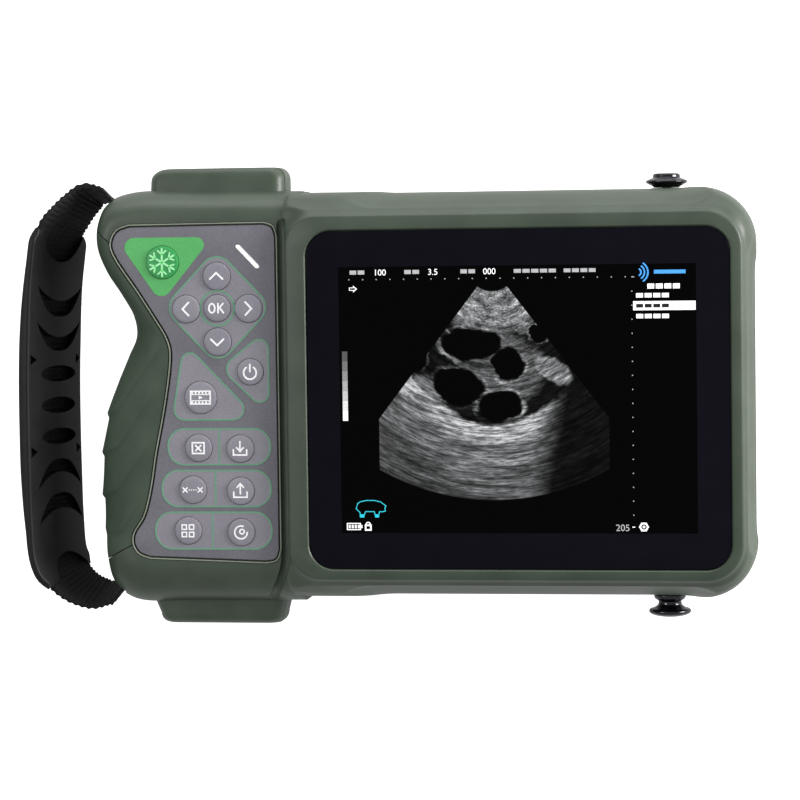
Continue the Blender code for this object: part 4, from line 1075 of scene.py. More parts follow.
def panel_outline(extra=0.0):
    """Outline of the keypad face; its straight top, bottom and right sides join smoothed corners."""
    points = [Vector(point) for point in PANEL_POINTS]
    upper_corner = spline(points[24:] + points[:1], 4)
    line = upper_corner + points[1:2] + spline(points[2:20], 4) + points[20:21] + spline(points[21:24], 4)
    return grow(line, extra)


def window_outline(extra=0.0):
    size = [side + 2 * extra for side in WINDOW_SIZE]
    return rounded_rectangle(WINDOW_CENTRE, size, WINDOW_CORNER + extra, 14)


def flared_cut(name, outline, low, edge_z, flare):
    """Pocket cutter whose mouth opens out, so that the pocket's rim gets a chamfer."""
    stops = [(low, 0.0), (edge_z - flare, 0.0), (edge_z + 0.6, flare + 0.6)]
    return loft(name, [[(p.x, p.y, z) for p in grow(outline, extra)] for z, extra in stops])


def key_holes(name, z_range):
    return joined(name, [cylinder(f"{name}_{key}", diameter / 2 + KEY_GAP, *z_range, (x, y, 0.0))
                         for key, (x, y, diameter) in KEYS.items()])


def slit_outline(extra=0.0):
    return stadium(*POWER_SLIT, POWER_SLIT_WIDTH + 2 * extra)


def groove_cutter():
    """Round-bottomed channel between the keypad face and the display frame; it runs off the lower edge."""
    half, soft = 1.65, 1.4
    rings = []
    for x, y, floor in GROOVE_TOP + spline(GROOVE_LINE, 3):
        ring = [(x - half, y, 45.0), (x - half, y, floor + soft)]
        ring += [(x - half + soft - soft * math.cos(t), y, floor + soft - soft * math.sin(t))
                 for t in (math.pi / 6, math.pi / 3, math.pi / 2)]
        ring += [(2 * x - px, y, pz) for px, _, pz in reversed(ring)]
        rings.append(ring)
    return loft("groove_cut", rings)


def grip_cover_region(name, extra):
    """Plan region of the rubber cover on the grip's left side, as a tall prism."""
    control = grow([Vector(point) for point in PANEL_POINTS], COVER_RIM)[4:18]
    beside_panel = spline(control, 4)
    far_side = [Vector(spot) for spot in ((-109.0, 56.5), (-118.0, 56.5), (-118.0, -55.5), (-110.0, -55.5))]
    return slab(name, [grow(beside_panel[::-1] + far_side, extra)], (COVER_BOTTOM - extra, 40.0))


def strap_openings():
    cutters = []
    for name, bar in STRAP_BARS.items():
        bar, way_out = Vector(bar), Vector(STRAP_EXITS[name])
        along = (way_out - bar).normalized()
        far = way_out + along * 6.0
        half = WEBBING_WIDTH / 2 + 0.6
        outline = stadium(bar, far, WEBBING_THICK + 2.6, 4)
        cutters.append(slab(f"strap_slot_{name}", [outline], (ANCHOR_Z - half, ANCHOR_Z + half), edge=0.5))
        cutters.append(cylinder(f"strap_well_{name}", 5.0, ANCHOR_Z - 10.6, ANCHOR_Z + 10.6, (*bar, 0.0)))
    return cutters


def boss_openings():
    well = cylinder("socket_well", SOCKET_RADIUS + GAP, 66.0, 90.0, (SOCKET_X, 0.0, SOCKET_Z), axis="Y", sides=48)
    pocket = block("port_pocket", (PORT_X[0] - GAP, -90.0, PORT_Z[0] - 2.4),
                   (PORT_X[1] + GAP, BOSS_BOTTOM + 3.1, PORT_Z[1] + GAP))
    way = block("port_way", (SOCKET_X - 5.4, -90.0, 11.7), (SOCKET_X + 5.4, -66.0, 16.9))
    return [well, pocket, way]


# ---------------------------------------------------------------- shells

def front_shell(outer, inner, shared):
    low = PARTING_Z + PARTING_GAP / 2
    shell = block("shell_front", (-BEYOND_X, -BEYOND_Y, low), (BEYOND_X, BEYOND_Y, 50.0), GREEN)
    posts, pilots = [], []
    for i, spot in enumerate(SCREWS):
        posts.append(cylinder(f"front_post_{i}", FRONT_POST_RADIUS, low + 0.2, FRONT_POST_TOP, (*spot, 0.0)))
        pilots.append(cylinder(f"front_pilot_{i}", PILOT_RADIUS, *PILOT_Z, (*spot, 0.0)))
    floor = OVERLAY_Z[0] - GAP
    seat = WINDOW_Z[0] - GAP
    cuts = [
        joined("front_pilots", pilots),
        groove_cutter(),
        flared_cut("panel_recess", panel_outline(0.4), floor, GRIP_FACE_Z, 0.8),
        flared_cut("window_seat", window_outline(GAP), seat, FRAME_FACE_Z, 0.45),
        slab("window_through", [window_outline(-4.0)], (30.0, 45.0)),
        key_holes("front_key_holes", THROUGH_FACE),
        slab("slit_front", [slit_outline(GAP)], THROUGH_FACE),
    ]
    combine(shell, "INTERSECT", outer)
    combine(shell, "DIFFERENCE", inner)
    post = joined("front_posts", posts)
    combine(shell, "UNION", post)
    combine(shell, "DIFFERENCE", *cuts, *shared)
    settle(shell, post, *cuts)
    return smooth(shell)


def rear_shell(outer, inner, shared):
    high = PARTING_Z - PARTING_GAP / 2
    shell = block("shell_rear", (-BEYOND_X, -BEYOND_Y, -10.0), (BEYOND_X, BEYOND_Y, high), GREEN)
    seats, holes = [], []
    for name, axis in (("upper", "Y"), ("lower", "-Y")):
        spot = (STUD_X, 0.0, STUD_Z)
        seats.append(cylinder(f"stud_seat_{name}", STUD_SEAT_RADII[0], 58.2, STUD_SEAT_SHOWN, spot, axis, 48,
                              STUD_SEAT_RADII[1]))
        holes.append(cylinder(f"stud_hole_{name}", STUD_HOLE_RADIUS, 55.0, 70.0, spot, axis))
    for i, (x, y) in enumerate(SCREWS):
        seats.append(cylinder(f"rear_post_{i}", REAR_POST_RADIUS, 3.0, high - 0.2, (x, y, 0.0)))
        holes.append(turned(f"rear_pilot_{i}", SCREW_HOLE, (x, y, 0.0)))
    for i, (x, y) in enumerate(FEET):
        holes.append(cylinder(f"foot_seat_{i}", FOOT_RADIUS + GAP, -1.0, FOOT_SEAT_Z, (x, y, 0.0)))
    for name, outline in rear_grooves().items():
        holes.append(slab(name, outline, (REAR_Z - 1.0, REAR_Z + 0.5)))
    combine(shell, "INTERSECT", outer)
    combine(shell, "DIFFERENCE", inner)
    combine(shell, "UNION", *seats)
    cuts = holes + battery_openings()
    combine(shell, "DIFFERENCE", *cuts, *shared)
    settle(shell, *seats, *cuts)
    return smooth(shell)


def gasket(inner):
    """Rubber seal that fills the gap between the shells, a little below their outer faces."""
    half = PARTING_GAP / 2 - 0.02
    low, high = PARTING_Z - half, PARTING_Z + half
    seal = block("gasket_ring", (-92.0, -BEYOND_Y, low), (BEYOND_X, BEYOND_Y, high), RUBBER)
    limit = block_form("form_seal", 0.9)
    grip = grip_form("form_seal_grip", 0.9)
    combine(limit, "UNION", grip)
    combine(seal, "INTERSECT", limit)
    combine(seal, "DIFFERENCE", inner)
    settle(seal, limit, grip)
    return smooth(seal)


def rear_grooves():
    """Shallow frame line and cooling-style ribs moulded into the middle of the back."""
    middle = (24.0, -1.0)
    grooves = {"rear_frame_line": [rounded_rectangle(middle, (104.0, 84.0), 9.0),
                                   rounded_rectangle(middle, (102.4, 82.4), 8.2)]}
    for i in range(6):
        y = -26.0 + i * 10.0
        grooves[f"rear_rib_{i}"] = [stadium((-10.0, y), (58.0, y), 2.2)]
    return grooves


def battery_openings():
    """Recess for the cover, its hinge clearance, and the way through to the battery."""
    sides = (COVER_X[0] - GAP, COVER_X[1] + GAP)
    depth = REAR_Z + COVER_PLATE + GAP
    through = box_outline((COVER_X[0] + 3.0, COVER_X[1] - 3.0), (COVER_Y[0] + 4.0, COVER_Y[1] - 5.0), 2.0)
    pin_spot = (0.0, COVER_Y[1], REAR_Z + COVER_PLATE / 2)
    return [
        cylinder("pin_holes", PIN_RADIUS + GAP, COVER_X[0] - 3.0, COVER_X[1] + 3.0, pin_spot, axis="X", sides=16),
        slab("cover_recess", [box_outline(sides, (COVER_Y[0] - GAP, COVER_Y[1] - 3.0))], (-5.0, depth)),
        slab("cover_hinge_recess", [box_outline(sides, (COVER_Y[1] - 6.0, COVER_Y[1] + 2.0), 0.6)],
             (-5.0, depth + 0.2)),
        slab("battery_way", [through], (-5.0, 9.0)),
    ]


def finger_cover():
    """Rubber cover over the finger side of the grip, with its overlapping steps."""
    cover = grip_cover_region("finger_cover", 0.0)
    cover.data.materials.append(GRIP_GREEN)
    skin = grip_form("cover_skin", steps=22, stepped=True)
    core = grip_form("cover_core", COVER_THICK, steps=3)
    combine(cover, "INTERSECT", skin)
    combine(cover, "DIFFERENCE", core)
    settle(cover, skin, core)
    return smooth(cover, 40.0)


def build_shells():
    outer, inner = body_forms()
    room = grip_cover_region("cover_room", GAP)
    core = grip_form("cover_seat", COVER_THICK + GAP, steps=3)
    combine(room, "DIFFERENCE", core)
    settle(room, core)
    shared = [room] + strap_openings() + boss_openings()
    front, rear = front_shell(outer, inner, shared), rear_shell(outer, inner, shared)
    present(gasket(inner), "scanner", "rubber_black", "housing_gasket")
    for item in [outer, inner] + shared:
        bpy.data.objects.remove(item, do_unlink=True)
    cover = finger_cover()
    for item, node, slot in ((front, "front_housing", "housing_green"), (rear, "rear_housing", "housing_green"),
                             (cover, "grip_cover", "grip_green")):
        present(item, "scanner", slot, node)


def present(item, body, slot, *nodes):
    """Fix a finished piece to its body, and hide the CAD nodes that it replaces."""
    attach(item, body)
    if nodes:
        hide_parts(*nodes)
    return item


# ---------------------------------------------------------------- keypad

FILM_Z = (33.90, 34.06)
LINE_Z = (33.95, 34.10)
FILM_GAP = 0.16
ARROW_PAD = ((-66.25, 29.35), 18.0, 18.9, 5.5)
PILLS = {
    "clear_save": ((-83.4, -49.4), (-22.0, -10.3), -66.3),
    "measure_output": ((-85.6, -49.4), (-35.7, -23.9), -67.8),
    "menu_obstetric": ((-88.0, -49.3), (-49.6, -37.6), -69.0),
}


def key_ring(key, extra):
    """Counter-clockwise ring around a key."""
    x, y, diameter = KEYS[key]
    return arc((x, y), diameter / 2 + extra, 0.0, 360.0 * 47 / 48, 47)


def printed(name, outlines, material, z_range=FILM_Z, slot="keypad_grey"):
    return present(slab(name, outlines, z_range, material), "scanner", slot)


def line_round(name, outline, width=0.5):
    """Printed line that follows a closed outline."""
    return printed(name, [grow(outline, width / 2), grow(outline, -width / 2)], OUTLINE, LINE_Z)


def diamond_outline():
    (x, y), half_x, half_y, radius = ARROW_PAD
    corners = [(x + half_x, y), (x, y + half_y), (x - half_x, y), (x, y - half_y)]
    return rounded_polygon(corners, [radius] * 4, 10)


def build_keypad():
    overlay = slab("keypad_membrane", [panel_outline()], OVERLAY_Z, PANEL, edge=0.25)
    holes = [key_holes("overlay_holes", THROUGH_FACE), slab("overlay_slit", [slit_outline(GAP)], THROUGH_FACE)]
    combine(overlay, "DIFFERENCE", *holes)
    settle(overlay, *holes)
    present(smooth(overlay), "scanner", "keypad_grey", "keypad_overlay")

    # Ring round the keypad face in a light green: a painted highlight along the recess's chamfer.
    rims = [panel_outline(0.95), panel_outline(0.55)]
    rim_highlight = slab("panel_rim_painted_highlight", rims, (33.6, GRIP_FACE_Z + 0.2), RIM_HIGHLIGHT_GREEN, edge=0.12)
    present(smooth(rim_highlight), "scanner", "housing_green")

    freeze = rounded_polygon([(-99.8, 52.3), (-85.0, 31.0), (-67.5, 52.3)], (3.2, 3.4, 2.6))
    printed("zone_freeze", [freeze, key_ring("key_freeze", FILM_GAP)], FREEZE, slot="key_green")

    def zone(name, outline, *keys):
        printed(f"zone_{name}", [outline] + [key_ring(f"key_{key}", FILM_GAP) for key in keys], ZONE)
        line_round(f"line_{name}", outline)

    zone("arrows", diamond_outline(), "up", "left", "ok", "right", "down")
    line_round("line_ok", key_ring("key_ok", 1.25), 0.6)
    zone("power", rounded_polygon([(-49.6, 22.0), (-65.5, 9.5), (-49.6, -5.6)], (3.0, 4.0, 3.0)), "power")
    zone("cine", rounded_polygon([(-77.6, 17.9), (-81.8, -7.3), (-53.3, -7.3)], (3.0, 3.5, 3.5)), "cine")
    for name, (x_range, y_range, split) in PILLS.items():
        zone(name, box_outline(x_range, y_range, (y_range[1] - y_range[0]) / 2 - 0.4, 12), *name.split("_"))
        divider = box((split - 0.25, y_range[0] + 0.5), (split + 0.25, y_range[1] - 0.5))
        printed(f"line_{name}_divider", [divider], OUTLINE, LINE_Z)

    light = slab("power_light", [slit_outline()], (KEY_BOTTOM, GRIP_FACE_Z + 0.12), LIGHT, edge=0.08)
    present(smooth(light), "scanner", "light_white", "power_light_pipe")


# ---------------------------------------------------------------- key caps and their signs

def key_cap(key, x, y, diameter):
    radius = diameter / 2
    ceiling = GRIP_FACE_Z - WALL
    dome = [(radius * share, KEY_TOP - KEY_DOME * share * share) for share in (0.0, 0.25, 0.5, 0.7, 0.82)]
    profile = dome + [
        (radius - 0.32, KEY_TOP - 0.24), (radius - 0.12, KEY_TOP - 0.36), (radius, KEY_TOP - 0.62),
        (radius, ceiling - 0.3),
        (radius + KEY_FLANGE, ceiling - 0.3), (radius + KEY_FLANGE, KEY_BOTTOM), (0.0, KEY_BOTTOM),
    ]
    is_freeze = key == "key_freeze"
    cap = turned(f"{key}_cap", profile, (x, y, 0.0), FREEZE_CAP if is_freeze else CAP)
    return present(smooth(cap), key, "key_green" if is_freeze else "key_lavender", key)


def marks(name, shapes, z_range, material, middle=(0.0, 0.0)):
    """Flat marks as one object. Each shape is an outline, or a list of an outline and holes."""
    x, y = middle
    parts = []
    for number, shape in enumerate(shapes):
        rings = shape if isinstance(shape[0], list) else [shape]
        moved = [[(px + x, py + y) for px, py in ring] for ring in rings]
        parts.append(slab(f"{name}_{number}", moved, z_range, material))
    return joined(name, parts, material)


def sign(key, name, shapes, material=GLOWING_WHITE_INK):
    """Marks on a key cap, drawn about its middle."""
    item = marks(f"{key}_{name}", shapes, (KEY_TOP - 0.20, KEY_TOP + 0.05), material, KEYS[key][:2])
    return present(item, key, "light_white")


def bend(points, width):
    return [(p.x, p.y) for p in ribbon(points, width)]


def bar(start, end, width):
    return bend([start, end], width)


def crossed(middle, half, width):
    """Two strokes that cross."""
    x, y = middle
    return [bar((x - half, y - half), (x + half, y + half), width),
            bar((x - half, y + half), (x + half, y - half), width)]


def box(low, high):
    return [(low[0], low[1]), (high[0], low[1]), (high[0], high[1]), (low[0], high[1])]


def frame_of(low, high, width):
    return [box(low, high), box((low[0] + width, low[1] + width), (high[0] - width, high[1] - width))]


def ring_of(centre, radius, width):
    return [[tuple(p) for p in arc(centre, radius + half, 0.0, 345.0, 23)] for half in (width / 2, -width / 2)]


def chevron(turn):
    """Open arrow head that points along an angle."""
    points = [Matrix.Rotation(math.radians(turn), 2) @ Vector(p) for p in ((-0.9, 2.1), (1.1, 0.0), (-0.9, -2.1))]
    return bend(points, 0.62)


def snowflake():
    shapes = []
    for i in range(6):
        turn = Matrix.Rotation(math.pi / 3 * i + math.pi / 6, 2)
        shapes.append(bar((0.0, 0.0), turn @ Vector((4.5, 0.0)), 0.6))
        shapes += [bar(turn @ Vector((2.6, 0.0)), turn @ Vector((3.8, y)), 0.5) for y in (-1.35, 1.35)]
    return shapes


def key_signs():
    sign("key_freeze", "flake", snowflake(), GLOWING_ICE_INK)
    for key, turn in (("key_right", 0.0), ("key_up", 90.0), ("key_left", 180.0), ("key_down", 270.0)):
        sign(key, "arrow", [chevron(turn)])
    letter_o = [ellipse((-1.6, 0.0), 1.25, 1.75, 24), ellipse((-1.6, 0.0), 0.70, 1.20, 24)]
    letter_k = [bar((0.45, -1.5), (0.45, 1.5), 0.55), bar((0.5, -0.3), (2.1, 1.5), 0.55),
                bar((0.95, 0.2), (2.2, -1.5), 0.55)]
    sign("key_ok", "tick", [letter_o] + letter_k)
    arch = arc((0.0, -0.3), 2.1, 125.0, 415.0, 24)
    sign("key_power", "switch", [bend(arch, 0.55), bar((0.0, 0.1), (0.0, 2.4), 0.55)])

    strip = frame_of((-3.5, -2.3), (3.5, 2.3), 0.45)
    holes = [box((-3.0 + 1.15 * i, side - 0.3), (-2.45 + 1.15 * i, side + 0.3)) for side in (-1.55, 1.55)
             for i in range(6)]
    rails = [box((-3.3, -1.15), (3.3, -0.85)), box((-3.3, 0.85), (3.3, 1.15))]
    play = [(-0.55, -0.62), (0.75, 0.0), (-0.55, 0.62)]
    sign("key_cine", "film", [strip, play] + rails + holes)

    sign("key_clear", "cross", [frame_of((-2.2, -2.0), (2.2, 2.0), 0.5)] + crossed((0.0, 0.0), 0.9, 0.5))
    tray = bend([(-2.2, -0.3), (-2.2, -2.0), (2.2, -2.0), (2.2, -0.3)], 0.5)
    for key, name, start, end, wing, tip in (("key_save", "store", 2.4, -0.7, 0.4, -0.85),
                                             ("key_output", "send", -0.9, 2.3, 1.2, 2.4)):
        head = bend([(-1.1, wing), (0.0, tip), (1.1, wing)], 0.5)
        sign(key, name, [tray, bar((0.0, start), (0.0, end), 0.5), head])
    ends = crossed((-2.5, 0.0), 0.7, 0.42) + crossed((2.5, 0.0), 0.7, 0.42)
    dots = [box((-1.3 + 0.75 * i, -0.18), (-0.95 + 0.75 * i, 0.18)) for i in range(4)]
    sign("key_measure", "caliper", ends + dots)
    squares = [frame_of((sx - 0.95, sy - 0.95), (sx + 0.95, sy + 0.95), 0.42)
               for sx in (-1.2, 1.2) for sy in (-1.2, 1.2)]
    sign("key_menu", "squares", squares)
    curl = arc((0.0, 0.0), 2.1, 70.0, 360.0, 26)
    sign("key_obstetric", "curl", [bend(curl, 0.5), ring_of((0.35, 0.25), 0.75, 0.5)])


def build_keys():
    for key, spot in KEYS.items():
        key_cap(key, *spot)
    key_signs()


# ---------------------------------------------------------------- display

def shown(name, outlines, material=SCREEN_WHITE, low=-0.02, high=0.03):
    """Marks on the screen, as thin as ink."""
    item = marks(f"screen_{name}", outlines, (WINDOW_Z[1] + low, WINDOW_Z[1] + high), material)
    return present(item, "scanner", "window_glass")


def numerals(name, text, corner, height, material=SCREEN_WHITE):
    """Plain figures on the screen, from their lower left corner."""
    curve = bpy.data.curves.new(name, "FONT")
    curve.body = text
    curve.size = height * 1.38 * MM
    curve.extrude = 0.025 * MM
    shape = filled(curve, (*corner, WINDOW_Z[1] + 0.005))
    return present(add(f"screen_{name}", mesh_from(shape, name), material), "scanner", "window_glass")


def word_blocks(low, high, count):
    """Plain short bars that stand where a line of words would be."""
    width = (high[0] - low[0]) / count
    bottom, top = low[1] + 0.45, high[1] - 0.45
    lefts = [low[0] + width * i for i in range(count)]
    return [box((left + 0.15, bottom), (left + width - 0.35, top)) for left in lefts]


def dots(start, step, count):
    half = 0.17
    spots = [Vector(start) + Vector(step) * i for i in range(count)]
    return [box((p.x - half, p.y - half), (p.x + half, p.y + half)) for p in spots]


def build_display():
    glass = slab("cover_glass", [window_outline()], WINDOW_Z, GLASS, edge=0.2)
    present(smooth(glass), "scanner", "window_glass", "display_window")

    numerals("gain", "100", (-14.0, 39.2), 2.0)
    numerals("rate", "3.5", (3.6, 39.2), 2.0)
    numerals("cine", "000", (21.5, 39.2), 2.0)
    numerals("depth", "205", (63.3, -43.2), 2.2, SCREEN_GREY)
    words = []
    for left, right, top, count in ((-21.9, -16.6, 41.3, 2), (-4.1, 1.2, 41.3, 2), (14.1, 19.3, 41.3, 2),
                                    (31.3, 45.3, 41.2, 5), (47.3, 58.0, 41.2, 4)):
        words += word_blocks((left, 39.1), (right, top), count)
    shown("top_words", words, SCREEN_GREY)
    shown("ruler_top", dots((-22.0, 37.9), (4.454, 0.0), 21) + [box((69.0, 37.7), (69.9, 38.0))], SCREEN_GREY)
    shown("ruler_side", dots((69.1, 33.3), (0.0, -4.464), 17), SCREEN_GREY)
    arrow = [(-19.4, 34.9), (-20.7, 36.0), (-20.7, 35.4), (-22.0, 35.4), (-22.0, 34.4), (-20.7, 34.4),
             (-20.7, 33.8)]
    hollow = [(-19.9, 34.9), (-20.5, 34.4), (-20.5, 34.6), (-21.8, 34.6), (-21.8, 35.2), (-20.5, 35.2),
              (-20.5, 35.4)]
    shown("arrow", [[arrow, hollow]])
    for i in range(7):
        tint = ink(f"grey_scale_{i}", colour(*[70 + 26 * i] * 3), 0.75)
        shown(f"grey_scale_{i}", [box((-24.6, 11.6 - 3.2 * i), (-22.9, 14.8 - 3.2 * i))], tint)
    waves = [bend(arc((70.9, 39.3), radius, -55.0, 55.0, 10), 0.5) for radius in (1.2, 2.3, 3.4)]
    shown("waves", waves + [box((76.2, 38.8), (86.2, 40.0))], SCREEN_BLUE)

    shown("title_words", word_blocks((73.9, 33.6), (84.7, 36.1), 4))
    shown("menu_words_1", word_blocks((70.3, 30.8), (81.2, 33.1), 4))
    shown("menu_words_3", word_blocks((70.3, 24.2), (81.2, 26.5), 4))
    shown("menu_choice", [box((69.5, 27.2), (89.3, 30.1))])
    shown("menu_words_2", word_blocks((70.3, 27.6), (81.2, 29.7), 4), DARK_PLASTIC, 0.0, 0.06)

    back = [(-20.4, -35.3), (-20.2, -34.4), (-19.2, -33.8), (-17.4, -33.4), (-14.6, -33.4), (-12.6, -33.9),
            (-11.4, -34.8), (-10.9, -35.2), (-11.3, -35.9), (-11.1, -36.8), (-12.2, -37.1), (-13.0, -37.0),
            (-13.4, -38.4), (-14.4, -38.4), (-14.8, -37.0), (-17.6, -37.0), (-18.2, -38.4), (-19.4, -38.4),
            (-19.4, -37.3), (-20.2, -36.6), (-20.7, -36.0), (-20.4, -35.3)]
    shown("animal", [bend(back, 0.26)], SCREEN_CYAN)
    shown("hooves", [box((-19.5, -38.9), (-18.0, -37.9)), box((-14.5, -38.9), (-13.2, -37.9))], SCREEN_CYAN)
    cell = [frame_of((-23.8, -43.0), (-19.2, -40.7), 0.3), box((-19.2, -42.3), (-18.7, -41.4))]
    cell += [box((-23.2 + i, -42.4), (-22.6 + i, -41.3)) for i in range(4)]
    lock = [frame_of((-17.9, -43.2), (-15.7, -41.2), 0.5), bend(arc((-16.8, -41.2), 0.7, 0.0, 180.0, 8), 0.35)]
    shown("battery", cell + lock)
    spot = (72.3, -41.9)
    flake = [ellipse(spot, 1.6, 1.6, 6), ellipse(spot, 0.95, 0.95, 6)]
    shown("frozen", [flake, ellipse(spot, 0.45, 0.45, 8), box((68.6, -42.1), (69.5, -41.8))])


# ---------------------------------------------------------------- strap

RIB_PITCH = 1.75
WEBBING_SPREAD = 2.6
WEBBING_STEP = 0.36
WEBBING_EDGE = 0.45
EYE_OUTER, EYE_INNER, EYE_TAIL = 3.3, 1.8, 5.5
PAD_STEPS = 90
PAD_LINE_STEP = 0.3
FEATURE_V = -1.6
PAD_ARCHES = {
    "smile_1": (36.8, 32.0, 26.6), "smile_2": (25.2, 19.8, 15.2),
    "frown_1": (-30.8, -25.4, -21.0), "frown_2": (-42.4, -37.6, -32.4),
}
PAD_OVALS = {
    "slot_1": ((FEATURE_V, 7.6), 9.8, 2.7), "slot_2": ((FEATURE_V, -3.0), 9.6, 2.7),
    "slot_3": ((FEATURE_V, -13.4), 9.6, 2.7),
    "end_upper": ((-0.4, 58.6), 12.2, 13.8), "end_lower": ((-2.0, -64.2), 10.2, 11.4),
}


def strap_line(step):
    """Middle of the strap at even steps: (place, outward direction, tilt, share risen, share in pad)."""
    path = spline(STRAP_PATH, 24)
    lengths = [0.0]
    for a, b in zip(path, path[1:]):
        lengths.append(lengths[-1] + (b - a).length)
    total = lengths[-1]
    count = round(total / step)
    frames, place = [], 0
    for i in range(count + 1):
        goal = total * i / count
        while place < len(path) - 2 and lengths[place + 1] < goal:
            place += 1
        a, b = path[place], path[place + 1]
        spot = a.lerp(b, (goal - lengths[place]) / (lengths[place + 1] - lengths[place]))
        along = (path[min(place + 2, len(path) - 1)] - path[max(place - 1, 0)]).normalized()
        outward = Vector((along.y, -along.x, 0.0))
        to_end = min(goal, total - goal)
        share = smooth_step((to_end - 4.0) / 18.0)
        lean = 0.62 + 0.38 * smooth_step((to_end - 0.5) / 7.0)
        in_pad = smooth_step((min(PAD_Y[1] - spot.y, spot.y - PAD_Y[0]) + 1.0) / 5.0)
        middle = Vector((spot.x, spot.y, ANCHOR_Z + (PAD_Z - ANCHOR_Z) * share))
        frames.append((middle, outward, PAD_TILT * lean, share, in_pad))
    return frames


def strap_spot(frame, v, t):
    """Point at v across the strap and t through it; t is negative on the side of the body."""
    middle, outward, tilt = frame[:3]
    across = outward * math.sin(tilt) + UP * math.cos(tilt)
    through = outward * math.cos(tilt) - UP * math.sin(tilt)
    return middle + across * v + through * t


def webbing_ring(frame, length):
    """Section of the webbing; its ribs swell and shrink it along its length."""
    rise, in_pad = frame[3:]
    swell = 0.5 + 0.5 * math.cos(2 * math.pi * length / RIB_PITCH)
    flat_v = WEBBING_WIDTH / 2 - 0.06 + 0.06 * swell + WEBBING_SPREAD * rise - WEBBING_EDGE
    flat_t = WEBBING_THICK / 2 - 0.4 + 0.45 * swell - 0.42 * in_pad - WEBBING_EDGE
    ring = []
    for side in (1, -1):
        for turn in map(math.radians, (0, 30, 60, 90)):
            v, t = flat_v + WEBBING_EDGE * math.cos(turn), flat_t + WEBBING_EDGE * math.sin(turn)
            ring.append((side * v, side * t))
        for i in range(1, 7):
            ring.append((side * flat_v * (1 - i / 3), side * (flat_t + WEBBING_EDGE)))
    return [strap_spot(frame, v, t + 0.12 * in_pad) for v, t in ring]


def webbing(name):
    """One half of the webbing, from inside the body to the middle of the pad."""
    frames = strap_line(WEBBING_STEP)
    if name == "lower":
        frames = frames[::-1]
    half = frames[:len(frames) // 2 + 2]
    bar, way_out = Vector(STRAP_BARS[name]), Vector(STRAP_EXITS[name])
    inward = (bar - way_out).normalized()
    reach = (bar - way_out).length - 2.5
    outward, tilt = half[0][1:3]
    lead = []
    for i in range(int(reach / WEBBING_STEP), 0, -1):
        spot = way_out + inward * WEBBING_STEP * i
        calm = tilt * (1.0 - smooth_step(WEBBING_STEP * i / reach))
        lead.append((Vector((*spot, ANCHOR_Z)), outward, calm, 0.0, 0.0))
    rings = [webbing_ring(frame, WEBBING_STEP * i) for i, frame in enumerate(lead + half)]
    item = smooth(loft(f"webbing_{name}", rings, WEBBING_PAINTED_SHADE, triangles=False), 60.0)
    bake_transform(item)
    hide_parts("strap_webbing")


def webbing_eye(name):
    """Sewn end of the webbing around its bar inside the body."""
    bar, way_out = Vector(STRAP_BARS[name]), Vector(STRAP_EXITS[name])
    along = (way_out - bar).normalized()
    side = Vector((-along.y, along.x)) * WEBBING_THICK / 2
    angle = math.degrees(math.atan2(along.y, along.x))
    spread = math.degrees(math.asin(WEBBING_THICK / 2 / EYE_OUTER))
    tail = bar + along * EYE_TAIL
    outline = arc(bar, EYE_OUTER, angle + spread, angle + 360 - spread, 28) + [tail - side, tail + side]
    half = WEBBING_WIDTH / 2
    rings = [outline, ellipse(bar, EYE_INNER, EYE_INNER, 24)]
    eye = slab(f"webbing_eye_{name}", rings, (ANCHOR_Z - half, ANCHOR_Z + half), WEBBING_PAINTED_SHADE, edge=0.3)
    present(smooth(eye, 50.0), "scanner", "webbing_black", f"strap_end_{name}")


def pad_half_thickness(y):
    middle = 1.0 - abs(y - (PAD_Y[0] + PAD_Y[1]) / 2) / ((PAD_Y[1] - PAD_Y[0]) / 2)
    return 1.3 + 0.7 * smooth_step((middle - 0.08) / 0.6)


def pad_ring(y):
    """Section of the pad, flat: v across, y along it, t through it, with a crowned inner face."""
    end = min(y - PAD_Y[0], PAD_Y[1] - y)
    half_v = PAD_WIDTH / 2 - 1.9 * (1.0 - smooth_step(end / 5.0)) ** 2
    half_t = pad_half_thickness(y) - 0.5 * (1.0 - smooth_step(end / 1.2))
    radius = min(1.1, half_t * 0.75)
    v, t, crown = half_v - radius, half_t - radius, 0.7
    ring = arc((v, t), radius, 0, 90, 5) + arc((-v, t), radius, 90, 180, 5)
    ring += arc((-v, -t), radius, 180, 270, 5)[:-1]
    ring += [Vector((v * u, -half_t - crown * (1 - u ** 2))) for u in (i / 8 - 1 for i in range(17))]
    ring += arc((v, -t), radius, 270, 360, 5)[1:]
    return [(p.x, y, p.y) for p in ring[:-1]]


def crescent(y_end, y_near, y_far):
    """Outline between two arches that meet at their ends, which lie at y_end."""
    half = 12.6
    shares = [i / 10 - 1 for i in range(21)]
    near, far = ([(FEATURE_V + half * u, y_end + (y - y_end) * (1 - abs(u) ** power)) for u in shares]
                 for y, power in ((y_near, 2.1), (y_far, 2.7)))
    line = near + far[1:-1][::-1]
    return line if y_far > y_near else line[::-1]


